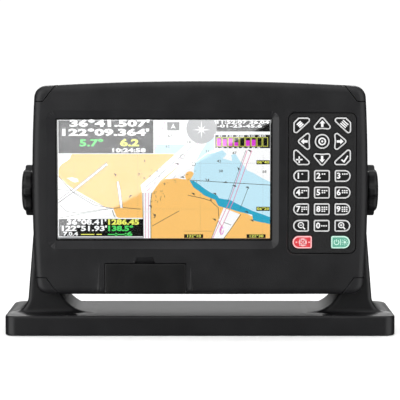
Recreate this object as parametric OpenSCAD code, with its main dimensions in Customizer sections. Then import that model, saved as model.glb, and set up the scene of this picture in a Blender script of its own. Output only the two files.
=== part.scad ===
// Marine chartplotter display head on a yoke bracket.
// Millimetres. +Z up, the screen faces -Y, X runs to the right seen from the front.
// Origin: middle of the underside of the bracket's base plate.

/* [Bracket base] */
// Width of the base plate at its front
base_w = 285; // [276:1:290]
// Width of the base plate at its back
base_w_back = 289; // [278:1:292]
// Depth of the base plate, front to back
base_d = 80; // [76:1:100]
// Thickness of the base plate
base_t = 14.5; // [12:0.5:15]
// Corner radius at the front of the base plate
base_front_r = 8; // [4:1:14]
// Corner radius at the back of the base plate
base_back_r = 10; // [6:1:16]
// Distance between base screws, left to right
base_hole_x = 188; // [184:1:200]
// Distance between base screws, front to back
base_hole_y = 66; // [64:1:67]
// Diameter of the base screw holes
base_hole_d = 5.5; // [4:0.5:6]
// Diameter of the countersink at the top of a base screw hole
base_sink_d = 10; // [8:0.5:10]

/* [Bracket legs] */
// Height of the tilt axis above the underside of the base
pivot_z = 104; // [102:1:108]
// Half distance between the inner faces of the legs at the tilt axis
leg_inner = 112; // [112:0.5:113]
// Half distance between the outer seats of the legs at the tilt axis
leg_outer = 121.6; // [121:0.1:123]
// Depth of a leg where it meets the base
leg_d_base = 44; // [40:1:46]
// Radius of the round top end of a leg
leg_end_r = 17; // [15:0.5:18]
// Radius of the large inside corner between a leg and the base
leg_fillet_in = 26; // [20:1:26]
// Radius of the outside corner between a leg and the base
leg_fillet_out = 12; // [8:1:12]
// Diameter of the pivot hole in a leg
leg_bore_d = 6.12; // [6.04:0.02:6.18]

/* [Head] */
// Width of the bezel at mid height
bezel_w = 244; // [242:0.5:246]
// Height of the bottom edge of the bezel
bezel_z0 = 30; // [29.8:0.1:30.4]
// Height of the top edge of the bezel at the middle
bezel_z1 = 185.1; // [184:0.1:187]
// Radius of the bezel's corners seen from the front
bezel_corner_r = 9; // [7:0.5:11]
// Y of the front of the bezel at its middle
bezel_y0 = -40; // [-40.5:0.1:-40]
// Y of the back of the bezel flange
flange_y = -28; // [-28.5:0.1:-28]
// Rounding of the bezel's front edges
bezel_edge_r = 5; // [2:0.5:6]
// Half width of the rear housing
house_hw = 104; // [102:0.5:104]
// Bottom of the rear housing
house_z0 = 41; // [40:0.5:42]
// Top of the rear housing
house_z1 = 174; // [172:0.5:175]
// Y of the back of the rear housing
house_y1 = 27; // [24:1:32]
// Wall of the rear housing
house_wall = 3; // [2.5:0.1:3.5]
// Spacing of the flush-mounting holes, left to right
flush_x = 228; // [226:0.5:230]
// Spacing of the flush-mounting holes, bottom to top
flush_z = 139; // [137:0.5:140]
// Diameter of the flush-mounting holes
flush_d = 4.2; // [3.5:0.1:4.5]

/* [Screen] */
// Width of the lit area of the screen
lcd_w = 154.08; // [150:0.01:155]
// Height of the lit area of the screen
lcd_h = 85.92; // [84:0.01:87]
// X of the middle of the screen
lcd_x = -26.1; // [-27:0.1:-26]
// Height of the middle of the screen
lcd_z = 113.9; // [113:0.1:115]

/* [Keypad] */
// X of the middle column of keys
key_x = 88.2; // [88:0.1:88.4]
// Distance between key columns
key_pitch_x = 15; // [14.6:0.1:15]
// Height of the row of keys 1, 2 and 3
key_row_z = 116.6; // [116:0.1:117]
// Distance between rows of keys
key_pitch_z = 12.05; // [11.8:0.05:12.1]
// Width of a number key
key_w = 11.6; // [11:0.1:11.8]
// Height of a number key
key_h = 8.7; // [8:0.1:9]
// Height of the middle of the arrow keys
pad_z = 141.6; // [141:0.1:142]
// How far the keys stand out of their plate
key_out = 1.2; // [1:0.1:1.4]

/* [Clamp knobs] */
// Diameter across the lobes of a clamp knob
knob_d = 38; // [34:1:40]
// Thickness of a clamp knob
knob_t = 9.3; // [9:0.1:12]
// Number of finger hollows around a clamp knob
knob_hollows = 8; // [6:1:10]
// Diameter of the clamp stud
stud_d = 6; // [6:0.01:6]

/* [Card door] */
// Left edge of the card door
door_x0 = -69; // [-70:0.1:-68]
// Right edge of the card door
door_x1 = -10.4; // [-11:0.1:-10]
// Top edge of the card door
door_z1 = 52.9; // [52:0.1:53.5]

/* [Hidden] */
$fn = 96;
bezel_hw = bezel_w / 2;
bezel_zm = (bezel_z0 + bezel_z1) / 2;
bezel_hh = (bezel_z1 - bezel_z0) / 2;
flush_zm = 107;    // middle height of the flush-mounting holes
top_r = 1902;      // arch of the top edge
side_r = 1202;     // bulge of the sides
front_rx = 4134;   // swell of the front face, left to right
wall_y = -36.2;    // back of the bezel's front wall
cap_y = -33;     // seat of the corner covers
pocket_y = -37.2;  // floor of the screen recess and of the door pocket
pin_y = -38.7;     // door hinge axis
pin_z = bezel_z0 + 2.5;
plate_y = -38.4;   // front of the keypad plate
plate_back = -35;
board_back = -29.8; // floor of the keypad pocket
lip_y = flange_y + 4;        // back of the rear housing's lip
lip_hw = 110;
screw_z0 = house_z0 - 4.6;   // rows of case screws
screw_z1 = house_z1 + 4.6;
hole_s = 1.06;     // key opening compared with its key
flange_s = 1.13;   // key flange compared with its key
seat_t = 1.4;      // knob washer
boss_x = 110.5;    // end of the housing's pivot boss

// Centres of the keys in the XZ plane
p_up = [key_x, pad_z + 12.8];
p_down = [key_x, pad_z - 12.8];
p_left = [key_x - 12.9, pad_z];
p_right = [key_x + 12.9, pad_z];
p_mid = [key_x, pad_z];
p_tl = [key_x - 14.95, pad_z + 11.75];
p_tr = [key_x + 14.95, pad_z + 11.75];
p_bl = [key_x - 14.95, pad_z - 11.75];
p_br = [key_x + 14.95, pad_z - 11.75];
function p_key(c, r) = [key_x + c * key_pitch_x, key_row_z - r * key_pitch_z];
p_red = [key_x - 14.05, key_row_z - 4 * key_pitch_z + 0.1];
p_green = [key_x + 13.75, key_row_z - 4 * key_pitch_z + 0.1];

// Every key: [centre, shape]
ALL_KEYS = [
    [p_up, "up"], [p_down, "down"], [p_left, "lf"], [p_right, "rt"], [p_mid, "round"],
    [p_tl, "tl"], [p_tr, "tr"], [p_bl, "bl"], [p_br, "br"],
    for (r = [0:3]) each [[p_key(-1, r), "left"], [p_key(0, r), "mid"], [p_key(1, r), "right"]],
    [p_red, "red"], [p_green, "green"]];

// ---------------------------------------------------------------- helpers

function unit(v) = v / norm(v);
// Points of one rounded corner at b, between its neighbours a and c
function corner_pts(a, b, c, r, n) =
    let (u = unit(a - b), w = unit(c - b), half = acos(u * w) / 2,
         t1 = b + u * r / tan(half), t2 = b + w * r / tan(half),
         m = b + unit(u + w) * r / sin(half),
         a0 = atan2(t1[1] - m[1], t1[0] - m[0]), a1 = atan2(t2[1] - m[1], t2[0] - m[0]),
         d = a1 - a0, da = d > 180 ? d - 360 : (d < -180 ? d + 360 : d))
    [for (i = [0:n]) m + r * [cos(a0 + da * i / n), sin(a0 + da * i / n)]];
// Polygon with each corner rounded to its own radius
function rounded(p, rs, n = 5) = let (k = len(p))
    [for (i = [0:k - 1]) each rs[i] > 0 ? corner_pts(p[(i + k - 1) % k], p[i], p[(i + 1) % k], rs[i], n) : [p[i]]];
// Plate of the children's XZ outline, from y0 backwards by t
module slab(y0, t) translate([0, y0 + t, 0]) rotate([90, 0, 0]) linear_extrude(t) children();
// Rounded rectangle
module rrect(x0, z0, x1, z1, r) {
    translate([x0 + r, z0]) square([x1 - x0 - 2 * r, z1 - z0]);
    translate([x0, z0 + r]) square([x1 - x0, z1 - z0 - 2 * r]);
    for (x = [x0 + r, x1 - r], z = [z0 + r, z1 - r]) translate([x, z]) circle(r);
}
// Cylinder along X from x0 to x1 about the tilt axis
module on_axis(x0, x1, d) translate([min(x0, x1), 0, pivot_z]) rotate([0, 90, 0]) cylinder(h = abs(x1 - x0), d = d);
// Cylinder along Y
module along_y(x, z, y0, y1, d) translate([x, y1, z]) rotate([90, 0, 0]) cylinder(h = y1 - y0, d = d);
// Box from one corner to the other
module block(a, b) translate(a) cube(b - a);

// Plan of the head's front: swelling face and rounded ends, as [x, -y]
function plan_pts(hw) = let (n = 7)
    [[-hw, 20], [hw, 20], [hw, swell(hw)],
     for (i = [n:-1:-n]) [i * 15, swell(i * 15)],
     [-hw, swell(hw)]];
function swell(x) = -bezel_y0 - x * x / (2 * front_rx);

// Front outline of the head: arched top, bulging sides, flat bottom, round corners.
// g moves the whole outline inwards.
function edge_top(x) = bezel_z1 - x * x / (2 * top_r);
function edge_side(z) = bezel_hw - (z - bezel_zm) * (z - bezel_zm) / (2 * side_r);
function half_outline(g) = let (zc = edge_top(bezel_hw - 2.2))
    [[edge_side(bezel_z0) - g, bezel_z0 + g],
     for (i = [-2:2]) [edge_side(bezel_zm + i * 24) - g, bezel_zm + i * 24],
     [edge_side(zc) - g, zc - g],
     for (i = [7:-1:1]) [i * 14, edge_top(i * 14) - g]];
module head_outline(g = 0) {
    h = half_outline(g);
    k = len(h);
    polygon(rounded([each h, [0, edge_top(0) - g], for (i = [k - 1:-1:0]) [-h[i][0], h[i][1]]],
        [for (i = [0:2 * k]) (i == 0 || i == 6 || i == 2 * k || i == 2 * k - 6) ? bezel_corner_r - g : 0], 8));
}

// Solid block of the head's front, before anything is cut from it
module head_block(g = 0) intersection() {
    slab(bezel_y0 - 1, flange_y - bezel_y0 + 1) head_outline(g);
    translate([0, 0, bezel_z0 - 10]) linear_extrude(bezel_z1 - bezel_z0 + 20)
        mirror([0, 1]) polygon(rounded(plan_pts(bezel_hw + 0.5),
            [0, 0, bezel_edge_r, for (i = [0:14]) 0, bezel_edge_r], 6));
    translate([-150, 0, bezel_zm]) rotate([180, -90, 0]) linear_extrude(300)
        rrect(-bezel_hh - 0.5, -flange_y - 20, bezel_hh + 0.5, -bezel_y0 + 0.3, bezel_edge_r);
}

// Zones of the corner covers on the right-hand side
module cap_zone(top, g) {
    if (top) polygon([[102.1 + g, 200], [102.1 + g, 184.6], [113.4 + g * 0.7, 170.1 + g], [140, 170.1 + g], [140, 200]]);
    else polygon([[140, 42.6 - g], [111.8 + g * 0.7, 42.6 - g], [102.7 + g, 29.9], [102.7 + g, 20], [140, 20]]);
}
module corner_cap(top, left) mirror([left ? 1 : 0, 0, 0]) difference() {
    intersection() {
        head_block(0.15);
        slab(bezel_y0 - 2, cap_y - bezel_y0 + 2) cap_zone(top, 0.25);
    }
    // hollow back, leaving a 1.2 mm skin over the mounting screw's head
    along_y(flush_x / 2, flush_zm + (top ? 1 : -1) * (flush_z / 2), -36.4, cap_y + 1, 7.6);
}

// ---------------------------------------------------------------- key shapes

module key_shape(kind) {
    if (kind == "mid") rrect(-key_w / 2, -key_h / 2, key_w / 2, key_h / 2, 1.5);
    else if (kind == "left") stadium_key(key_w, key_h);
    else if (kind == "right") mirror([1, 0]) stadium_key(key_w, key_h);
    else if (kind == "red") stadium_key(14.1, 9.1);
    else if (kind == "green") mirror([1, 0]) stadium_key(13.7, 9.1);
    else if (kind == "round") circle(5.4);
    else if (kind == "up") arrow_key();
    else if (kind == "down") mirror([0, 1]) arrow_key();
    else if (kind == "lf") rotate(90) arrow_key();
    else if (kind == "rt") rotate(-90) arrow_key();
    else if (kind == "tl") corner_key();
    else if (kind == "tr") mirror([1, 0]) corner_key();
    else if (kind == "bl") mirror([0, 1]) corner_key();
    else rotate(180) corner_key();
}
// Key with one half-round end on the left
module stadium_key(w, h) {
    translate([-w / 2 + h / 2, 0]) circle(h / 2);
    rrect(-w / 2 + h / 2 - 1.3, -h / 2, w / 2, h / 2, 1.3);
}
// Arrow key pointing up, with a hollow base that follows the round key
module arrow_key() polygon(rounded([[0, 5.8], [-8.9, -4.8], [0, -3.9], [8.9, -4.8]], [2, 2, 9, 2]));
// Three-sided key with a clipped outer corner
module corner_key() polygon(rounded([[-2.3, 5.5], [-5.95, 1.9], [-5.95, -8.5], [9.3, 5.5]], [1.2, 1.2, 2, 2]));

// One key: cap, flange and stem
module key(p, kind) {
    translate([p[0], 0, p[1]]) {
        difference() {
            slab(plate_y - key_out, 4.7) key_shape(kind);
            slab(plate_y - key_out - 1, 1.25) scale([0.82, 0.82]) key_shape(kind);
        }
        slab(plate_back + 0.1, 0.8) scale([flange_s, flange_s]) key_shape(kind);
    }
}

// ---------------------------------------------------------------- bracket

module yoke_bracket() color([0.13, 0.13, 0.135]) difference() {
    union() {
        base_plate();
        intersection() {
            legs_front();
            legs_side();
        }
        for (s = [-1, 1]) on_axis(s * (leg_inner + 1), s * (leg_outer + 0.4), 30);
    }
    // flat seat for the clamp washer
    for (s = [-1, 1]) on_axis(s * leg_outer, s * (leg_outer + 3), 31);
    for (x = [-1, 1], y = [-1, 1]) translate([x * base_hole_x / 2, y * base_hole_y / 2, -1]) {
        cylinder(h = base_t + 2, d = base_hole_d);
        translate([0, 0, base_t + 1 - (base_sink_d - base_hole_d) / 2])
            cylinder(h = (base_sink_d - base_hole_d) / 2 + 0.01, d1 = base_hole_d, d2 = base_sink_d);
    }
    on_axis(-leg_outer - 5, leg_outer + 5, leg_bore_d);
}
module base_plate() linear_extrude(base_t) {
    x = base_w / 2;
    xb = base_w_back / 2;
    y = base_d / 2;
    polygon(rounded([[-x, -y], [x, -y], [xb, y], [-xb, y]], [base_front_r, base_front_r, base_back_r, base_back_r], 10));
}
// The U of the bracket seen from the front
module legs_front() slab(-40, 80) for (m = [0, 1]) mirror([m, 0]) {
    fi = leg_fillet_in;
    fo = leg_fillet_out;
    zi = base_t + fi;
    difference() {
        polygon([[106 - fi, base_t - 1], [106, zi], [leg_inner, pivot_z - 16], [leg_inner, pivot_z + 20],
            [120.2, pivot_z + 20], [121.2, pivot_z], [127.2, 24], [127.2 + fo, base_t], [127.2 + fo, base_t - 1]]);
        translate([127.6 + fo, base_t + fo]) circle(fo);
    }
    difference() {
        translate([106 - fi, base_t - 1]) square([fi, fi + 1]);
        translate([106 - fi, zi]) circle(fi);
    }
}
// The legs seen from the side: tapering up to a round end
module legs_side() translate([-150, 0, 0]) rotate([90, 0, 90]) linear_extrude(300) {
    polygon([[-leg_d_base / 2, base_t - 1], [leg_d_base / 2, base_t - 1], [leg_end_r, pivot_z], [-leg_end_r, pivot_z]]);
    translate([0, pivot_z]) circle(leg_end_r);
}

// ---------------------------------------------------------------- head shells

module front_bezel() color([0.15, 0.15, 0.155]) difference() {
    head_block();
    // sloped recess down to the window
    intersection() {
        translate([0, 0, bezel_z0]) linear_extrude(bezel_z1 - bezel_z0)
            polygon([[lcd_x - 84.5, -40.6], [57, -40.6], [lcd_x + lcd_w / 2 + 1.6, pocket_y], [lcd_x - lcd_w / 2 - 1.6, pocket_y]]);
        translate([-150, 0, 0]) rotate([90, 0, 90]) linear_extrude(300)
            polygon([[-40.6, lcd_z - 50.1], [-40.6, lcd_z + 49.4], [pocket_y, lcd_z + lcd_h / 2 + 1.6], [pocket_y, lcd_z - lcd_h / 2 - 1.6]]);
    }
    // window opening and the ledge that the window is bonded to
    slab(-41, 12) rrect(lcd_x - lcd_w / 2 - 0.8, lcd_z - lcd_h / 2 - 0.8, lcd_x + lcd_w / 2 + 0.8, lcd_z + lcd_h / 2 + 0.8, 0.8);
    slab(-36.4, 12) rrect(lcd_x - 79.8, lcd_z - 45.6, lcd_x + 79.8, lcd_z + 45.6, 2);
    // keypad pocket, open to the front, and the slot for its cable
    slab(-45, 45 + board_back) rrect(63.6, 59.9, 113.3, 162.4, 5);
    slab(-31, 6) rrect(66, 108, 82, 112, 1);
    // space for the screen
    slab(wall_y, 12) rrect(-106.6, house_z0 + 2.5, 60.5, house_z1 - 2.5, 5);
    // seats of the corner covers
    for (m = [0, 1]) mirror([m, 0, 0]) slab(-50, 50 + cap_y) {
        cap_zone(true, 0);
        cap_zone(false, 0);
    }
    // card door pocket, card slot and finger notch
    slab(-45, 45 + pocket_y) translate([door_x0 - 0.3, pin_z - 1.6]) square([door_x1 - door_x0 + 0.6, door_z1 + 1.9 - pin_z]);
    slab(-38, 4) rrect(-56, 36.5, -23.4, 48.5, 2);
    slab(-41, 3) polygon([[-47.1, 52], [-32.8, 52], [-34, 57.6], [-46, 57.6]]);
    translate([-72, pin_y, pin_z]) rotate([0, 90, 0]) cylinder(h = 64.6, d = 1.2);
    // mounting holes under the corner covers
    for (x = [-1, 1], z = [-1, 1]) along_y(x * flush_x / 2, flush_zm + z * flush_z / 2, -45, -20, flush_d);
    // blind holes of the case screws
    for (x = [-85, 0, 85], z = [screw_z0, screw_z1]) along_y(x, z, -35, -20, 3);
}

module rear_housing() color([0.12, 0.12, 0.125]) difference() {
    union() {
        slab(lip_y, house_y1 - lip_y) rrect(-house_hw, house_z0, house_hw, house_z1, 8);
        // lip that covers the back of the screen and carries the gasket
        slab(flange_y + 1, lip_y - flange_y - 1) rrect(-lip_hw, house_z0 - 1.5, lip_hw, house_z1 + 1.5, 9);
        for (s = [-1, 1]) on_axis(s * (house_hw - 1), s * boss_x, 34);
        for (x = [-85, 0, 85], m = [0, 1]) screw_lug(x, m);
    }
    difference() {
        slab(flange_y - 1, house_y1 - house_wall - flange_y + 1)
            rrect(-house_hw + house_wall, house_z0 + house_wall, house_hw - house_wall, house_z1 - house_wall, 5);
        for (s = [-1, 1]) on_axis(s * (house_hw - 14), s * house_hw, 17);
    }
    for (x = [-85, 0, 85], z = [screw_z0, screw_z1]) along_y(x, z, flange_y - 1, flange_y + 12, 3.2);
    on_axis(-boss_x - 1, -house_hw + 12.5, 9);
    on_axis(house_hw - 12.5, boss_x + 1, 9);
    // connector openings
    for (x = [-60, -25]) along_y(x, 72, 20, 30, 16);
    along_y(20, 72, 20, 30, 9.6);
    along_y(55, 66, 20, 30, 4);
    // shallow panel on the back
    slab(house_y1 - 0.8, 2) rrect(-70, 104, 70, 160, 4);
}
// Screw lug above (m = 1) or below (m = 0) the lip, standing on the bezel's back
module screw_lug(x, m) {
    z = m == 1 ? screw_z1 : screw_z0;
    block([x - 5, flange_y + 1, m == 1 ? house_z1 - 1 : z - 3.2], [x + 5, flange_y + 10, m == 1 ? z + 3.2 : house_z0 + 1]);
    block([x - 5, flange_y, m == 1 ? house_z1 + 1.7 : z - 3.2], [x + 5, flange_y + 1.5, m == 1 ? z + 3.2 : house_z0 - 1.7]);
}

module case_gasket() color([0.05, 0.05, 0.05]) slab(flange_y, 1) difference() {
    rrect(-lip_hw, house_z0 - 1.5, lip_hw, house_z1 + 1.5, 9);
    rrect(-lip_hw + 3, house_z0 + 1.5, lip_hw - 3, house_z1 - 1.5, 6);
}

module cap_top_left() color([0.14, 0.14, 0.145]) corner_cap(true, true);
module cap_top_right() color([0.14, 0.14, 0.145]) corner_cap(true, false);
module cap_bottom_left() color([0.14, 0.14, 0.145]) corner_cap(false, true);
module cap_bottom_right() color([0.14, 0.14, 0.145]) corner_cap(false, false);

module case_screws() color([0.7, 0.7, 0.72]) for (x = [-85, 0, 85], z = [screw_z0, screw_z1]) difference() {
    union() {
        along_y(x, z, -35, flange_y + 10.01, 3);
        along_y(x, z, flange_y + 10, flange_y + 12.4, 5.6);
    }
    translate([x, flange_y + 14, z]) rotate([90, 0, 0]) cylinder(h = 3, d = 2.9, $fn = 6);
}

// ---------------------------------------------------------------- screen

module lcd_window() color([0.75, 0.8, 0.85, 0.5]) slab(-36.4, 2)
    rrect(lcd_x - 79.4, lcd_z - 45.2, lcd_x + 79.4, lcd_z + 45.2, 1.6);
module lcd_panel() color([0.35, 0.5, 0.6]) slab(-34.2, 4) rrect(lcd_x - 79.3, lcd_z - 46.1, lcd_x + 79.3, lcd_z + 46.1, 0.8);
module lcd_frame() color([0.65, 0.66, 0.68]) difference() {
    slab(-33.6, 4.4) rrect(lcd_x - 80.2, lcd_z - 47, lcd_x + 80.2, lcd_z + 47, 1.5);
    slab(-35, 4.8) rrect(lcd_x - 79.4, lcd_z - 46.2, lcd_x + 79.4, lcd_z + 46.2, 0.9);
    slab(-35, 8) rrect(lcd_x - 60, lcd_z - 36, lcd_x - 8, lcd_z + 36, 4);
    slab(-35, 8) rrect(lcd_x + 8, lcd_z - 36, lcd_x + 60, lcd_z + 36, 4);
}

// ---------------------------------------------------------------- keypad

module keypad_plate() color([0.1, 0.1, 0.105]) difference() {
    slab(plate_y, plate_back - plate_y) rrect(63.8, 60.1, 113.1, 162.2, 4.8);
    for (k = ALL_KEYS) translate([k[0][0], 0, k[0][1]]) slab(-45, 20) scale([hole_s, hole_s]) key_shape(k[1]);
}
module keypad_mat() color([0.55, 0.57, 0.6]) difference() {
    union() {
        slab(-32.4, 1) rrect(64.2, 60.5, 112.7, 161.8, 4);
        for (k = ALL_KEYS) along_y(k[0][0], k[0][1], -33.2, -32, 5);
        // rim that holds the mat against the plate
        slab(plate_back, 2.7) difference() {
            rrect(64.2, 60.5, 112.7, 161.8, 4);
            rrect(65.6, 61.9, 111.3, 160.4, 3);
        }
    }
}
module keypad_board() color([0.1, 0.35, 0.2]) difference() {
    slab(-31.4, 31.4 + board_back) rrect(64.2, 60.5, 112.7, 161.8, 4);
    for (x = [68.5, 108.5], z = [64.5, 158]) along_y(x, z, -33, -28, 2.6);
}
module key_up() color([0.12, 0.12, 0.125]) key(p_up, "up");
module key_down() color([0.12, 0.12, 0.125]) key(p_down, "down");
module key_left() color([0.12, 0.12, 0.125]) key(p_left, "lf");
module key_right() color([0.12, 0.12, 0.125]) key(p_right, "rt");
module key_centre() color([0.12, 0.12, 0.125]) key(p_mid, "round");
module key_top_left() color([0.12, 0.12, 0.125]) key(p_tl, "tl");
module key_top_right() color([0.12, 0.12, 0.125]) key(p_tr, "tr");
module key_bottom_left() color([0.12, 0.12, 0.125]) key(p_bl, "bl");
module key_bottom_right() color([0.12, 0.12, 0.125]) key(p_br, "br");
module key_1() color([0.12, 0.12, 0.125]) key(p_key(-1, 0), "left");
module key_2() color([0.12, 0.12, 0.125]) key(p_key(0, 0), "mid");
module key_3() color([0.12, 0.12, 0.125]) key(p_key(1, 0), "right");
module key_4() color([0.12, 0.12, 0.125]) key(p_key(-1, 1), "left");
module key_5() color([0.12, 0.12, 0.125]) key(p_key(0, 1), "mid");
module key_6() color([0.12, 0.12, 0.125]) key(p_key(1, 1), "right");
module key_7() color([0.12, 0.12, 0.125]) key(p_key(-1, 2), "left");
module key_8() color([0.12, 0.12, 0.125]) key(p_key(0, 2), "mid");
module key_9() color([0.12, 0.12, 0.125]) key(p_key(1, 2), "right");
module key_zoom_out() color([0.12, 0.12, 0.125]) key(p_key(-1, 3), "left");
module key_0() color([0.12, 0.12, 0.125]) key(p_key(0, 3), "mid");
module key_zoom_in() color([0.12, 0.12, 0.125]) key(p_key(1, 3), "right");
module key_red() color([0.85, 0.27, 0.29]) key(p_red, "red");
module key_power() color([0.43, 0.68, 0.58]) key(p_green, "green");

// ---------------------------------------------------------------- electronics

module main_board() color([0.08, 0.3, 0.2]) {
    difference() {
        slab(-24, 1.6) rrect(-99, 66, 47, 162, 2);
        for (x = [-90, 38], z = [76, 152]) along_y(x, z, -26, -20, 3.2);
    }
    block([-70, -22.41, 118], [-46, -20.4, 142]);
    block([-36, -22.41, 124], [-22, -21.2, 136]);
    block([-12, -22.41, 116], [8, -20.9, 132]);
    block([16, -22.41, 136], [40, -14.4, 146]);
    block([-62, -22.41, 70], [-24, -14.4, 76]);
    for (x = [-88, -78]) along_y(x, 100, -22.41, -12.4, 8);
}
module board_standoffs() color([0.8, 0.65, 0.3]) for (x = [-90, 38], z = [76, 152]) {
    translate([x, -24, z]) rotate([90, 0, 0]) cylinder(h = 5.2, d = 6, $fn = 6);
    along_y(x, z, -24.01, -22.4, 3.2);
    along_y(x, z, -22.4, -20.6, 5.4);
}
module alarm_buzzer() color([0.1, 0.1, 0.1]) difference() {
    along_y(-58, 96, -22.4, -13, 12);
    along_y(-58, 96, -14, -12, 2);
}
module clock_battery() color([0.75, 0.75, 0.77]) along_y(22, 98, -22.4, -19.2, 20);
module card_socket() color([0.6, 0.61, 0.63]) difference() {
    block([-54, -26.9, house_z0 + house_wall], [-25.4, 2, house_z0 + house_wall + 5]);
    block([-52, -28, house_z0 + house_wall + 1.4], [-27.6, -3, house_z0 + house_wall + 3.6]);
}
module chart_card() color([0.12, 0.2, 0.45]) block([-51.8, -35, house_z0 + house_wall + 1.45], [-27.8, -3.1, house_z0 + house_wall + 3.55]);

// ---------------------------------------------------------------- tilt clamp

module pivot_inserts() color([0.8, 0.65, 0.3]) difference() {
    for (s = [-1, 1]) on_axis(s * (house_hw - 12.5), s * boss_x, 9);
    on_axis(-150, 150, stud_d + 0.1);
}
module friction_washers() color([0.08, 0.08, 0.08]) difference() {
    for (s = [-1, 1]) on_axis(s * boss_x, s * leg_inner, 28);
    on_axis(-150, 150, 10);
}
module washer(s) difference() {
    on_axis(s * leg_outer, s * (leg_outer + seat_t), 18);
    on_axis(-150, 150, 6.1);
}
module stud(s) on_axis(s * 98, s * (leg_outer + seat_t + 8), stud_d);
module knob(s) difference() {
    union() {
        on_axis(s * (leg_outer + seat_t), s * (leg_outer + seat_t + 3), 22);
        on_axis(s * (leg_outer + seat_t + 1.5), s * (leg_outer + seat_t + knob_t - 1.5), knob_d);
        on_axis(s * (leg_outer + seat_t + 3), s * (leg_outer + seat_t + knob_t), knob_d - 6);
    }
    for (i = [0:knob_hollows - 1]) rotate([0, 0, 0]) translate([0, 0, pivot_z]) rotate([i * 360 / knob_hollows + 22.5, 0, 0])
        translate([s * (leg_outer + 5) - 12, 0, knob_d / 2 + 3.2]) rotate([0, 90, 0]) cylinder(h = 24, d = 12);
    on_axis(s * leg_outer, s * (leg_outer + seat_t + 8), stud_d);
}
module left_knob() color([0.1, 0.1, 0.1]) knob(-1);
module right_knob() color([0.1, 0.1, 0.1]) knob(1);
module left_stud() color([0.75, 0.75, 0.77]) stud(-1);
module right_stud() color([0.75, 0.75, 0.77]) stud(1);
module left_washer() color([0.75, 0.75, 0.77]) washer(-1);
module right_washer() color([0.75, 0.75, 0.77]) washer(1);

// ---------------------------------------------------------------- card door

// Side profile of the door, extruded along X
module door_bar(x0, x1) translate([x0, 0, 0]) rotate([90, 0, 90]) linear_extrude(x1 - x0) children();
module card_door() color([0.15, 0.15, 0.155]) difference() {
    union() {
        door_bar(door_x0, door_x1) {
            translate([pin_y, pin_z]) circle(1.25);
            translate([pin_y - 1.25, pin_z]) square([2.5, door_z1 - pin_z]);
        }
        // plug that fits the card slot
        slab(pin_y + 1.24, 1.2) rrect(-55, 37.5, -24.4, 47.5, 1.5);
    }
    translate([door_x0 - 1, pin_y, pin_z]) rotate([0, 90, 0]) cylinder(h = door_x1 - door_x0 + 2, d = 1.3);
}
module door_seal() color([0.3, 0.3, 0.32]) slab(pin_y + 1.25, 0.25) difference() {
    rrect(-59, 35.2, -20.4, 50.6, 3);
    rrect(-55, 37.5, -24.4, 47.5, 1.5);
}
module door_hinge_pin() color([0.75, 0.75, 0.77]) translate([-72, pin_y, pin_z]) rotate([0, 90, 0]) cylinder(h = 64.6, d = 1.2);

// ---------------------------------------------------------------- rear connectors

module signal_connectors() color([0.2, 0.2, 0.2]) for (x = [-60, -25]) difference() {
    union() {
        along_y(x, 72, house_y1 - house_wall - 4, house_y1 + 0.01, 16);
        along_y(x, 72, house_y1, house_y1 + 2, 20);
        along_y(x, 72, house_y1 + 1.99, house_y1 + 12, 15);
    }
    // shallow face with contact holes and a key slot
    along_y(x, 72, house_y1 + 11, house_y1 + 13, 11.4);
    for (a = [0:60:300]) along_y(x + 3 * cos(a), 72 + 3 * sin(a), house_y1 + 6, house_y1 + 12, 1.1);
    block([x - 0.8, house_y1 + 7, 76.4], [x + 0.8, house_y1 + 12, 78]);
}
module antenna_connector() color([0.8, 0.65, 0.3]) difference() {
    union() {
        along_y(20, 72, house_y1 - house_wall - 5, house_y1 + 12, 9.6);
        translate([20, house_y1 + 2.5, 72]) rotate([90, 0, 0]) cylinder(h = 2.5, d = 14, $fn = 6);
    }
    along_y(20, 72, house_y1 + 10.6, house_y1 + 13, 7.4);
    along_y(20, 72, house_y1 + 5, house_y1 + 13, 1.2);
}
module ground_stud() color([0.8, 0.65, 0.3]) {
    along_y(55, 66, house_y1 - house_wall - 2, house_y1 + 10, 4);
    translate([55, house_y1 + 3, 66]) rotate([90, 0, 0]) cylinder(h = 3, d = 8, $fn = 6);
}

yoke_bracket();
front_bezel();
rear_housing();
case_gasket();
lcd_window();
lcd_panel();
lcd_frame();
keypad_plate();
keypad_mat();
keypad_board();
main_board();
board_standoffs();
card_socket();
chart_card();
alarm_buzzer();
clock_battery();
case_screws();
cap_top_left();
cap_top_right();
cap_bottom_left();
cap_bottom_right();
pivot_inserts();
friction_washers();
door_hinge_pin();
signal_connectors();
antenna_connector();
ground_stud();
card_door();
door_seal();
left_knob();
left_stud();
left_washer();
right_knob();
right_stud();
right_washer();
key_up();
key_down();
key_left();
key_right();
key_centre();
key_top_left();
key_top_right();
key_bottom_left();
key_bottom_right();
key_1();
key_2();
key_3();
key_4();
key_5();
key_6();
key_7();
key_8();
key_9();
key_zoom_out();
key_0();
key_zoom_in();
key_red();
key_power();
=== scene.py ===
import math

import bpy
import numpy as np
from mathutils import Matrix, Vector, kdtree
from mathutils.geometry import delaunay_2d_cdt


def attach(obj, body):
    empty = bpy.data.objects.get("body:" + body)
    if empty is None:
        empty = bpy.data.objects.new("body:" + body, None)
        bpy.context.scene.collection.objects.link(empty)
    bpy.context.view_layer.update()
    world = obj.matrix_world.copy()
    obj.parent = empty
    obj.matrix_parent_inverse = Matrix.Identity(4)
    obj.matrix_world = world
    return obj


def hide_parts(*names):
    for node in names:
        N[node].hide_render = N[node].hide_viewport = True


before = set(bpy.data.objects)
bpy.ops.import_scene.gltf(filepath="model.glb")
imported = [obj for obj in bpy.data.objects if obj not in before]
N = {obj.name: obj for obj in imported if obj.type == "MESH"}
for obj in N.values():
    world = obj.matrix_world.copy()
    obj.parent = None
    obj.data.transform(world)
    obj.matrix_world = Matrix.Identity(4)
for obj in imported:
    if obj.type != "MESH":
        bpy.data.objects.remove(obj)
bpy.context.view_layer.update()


MM = 0.001

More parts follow.
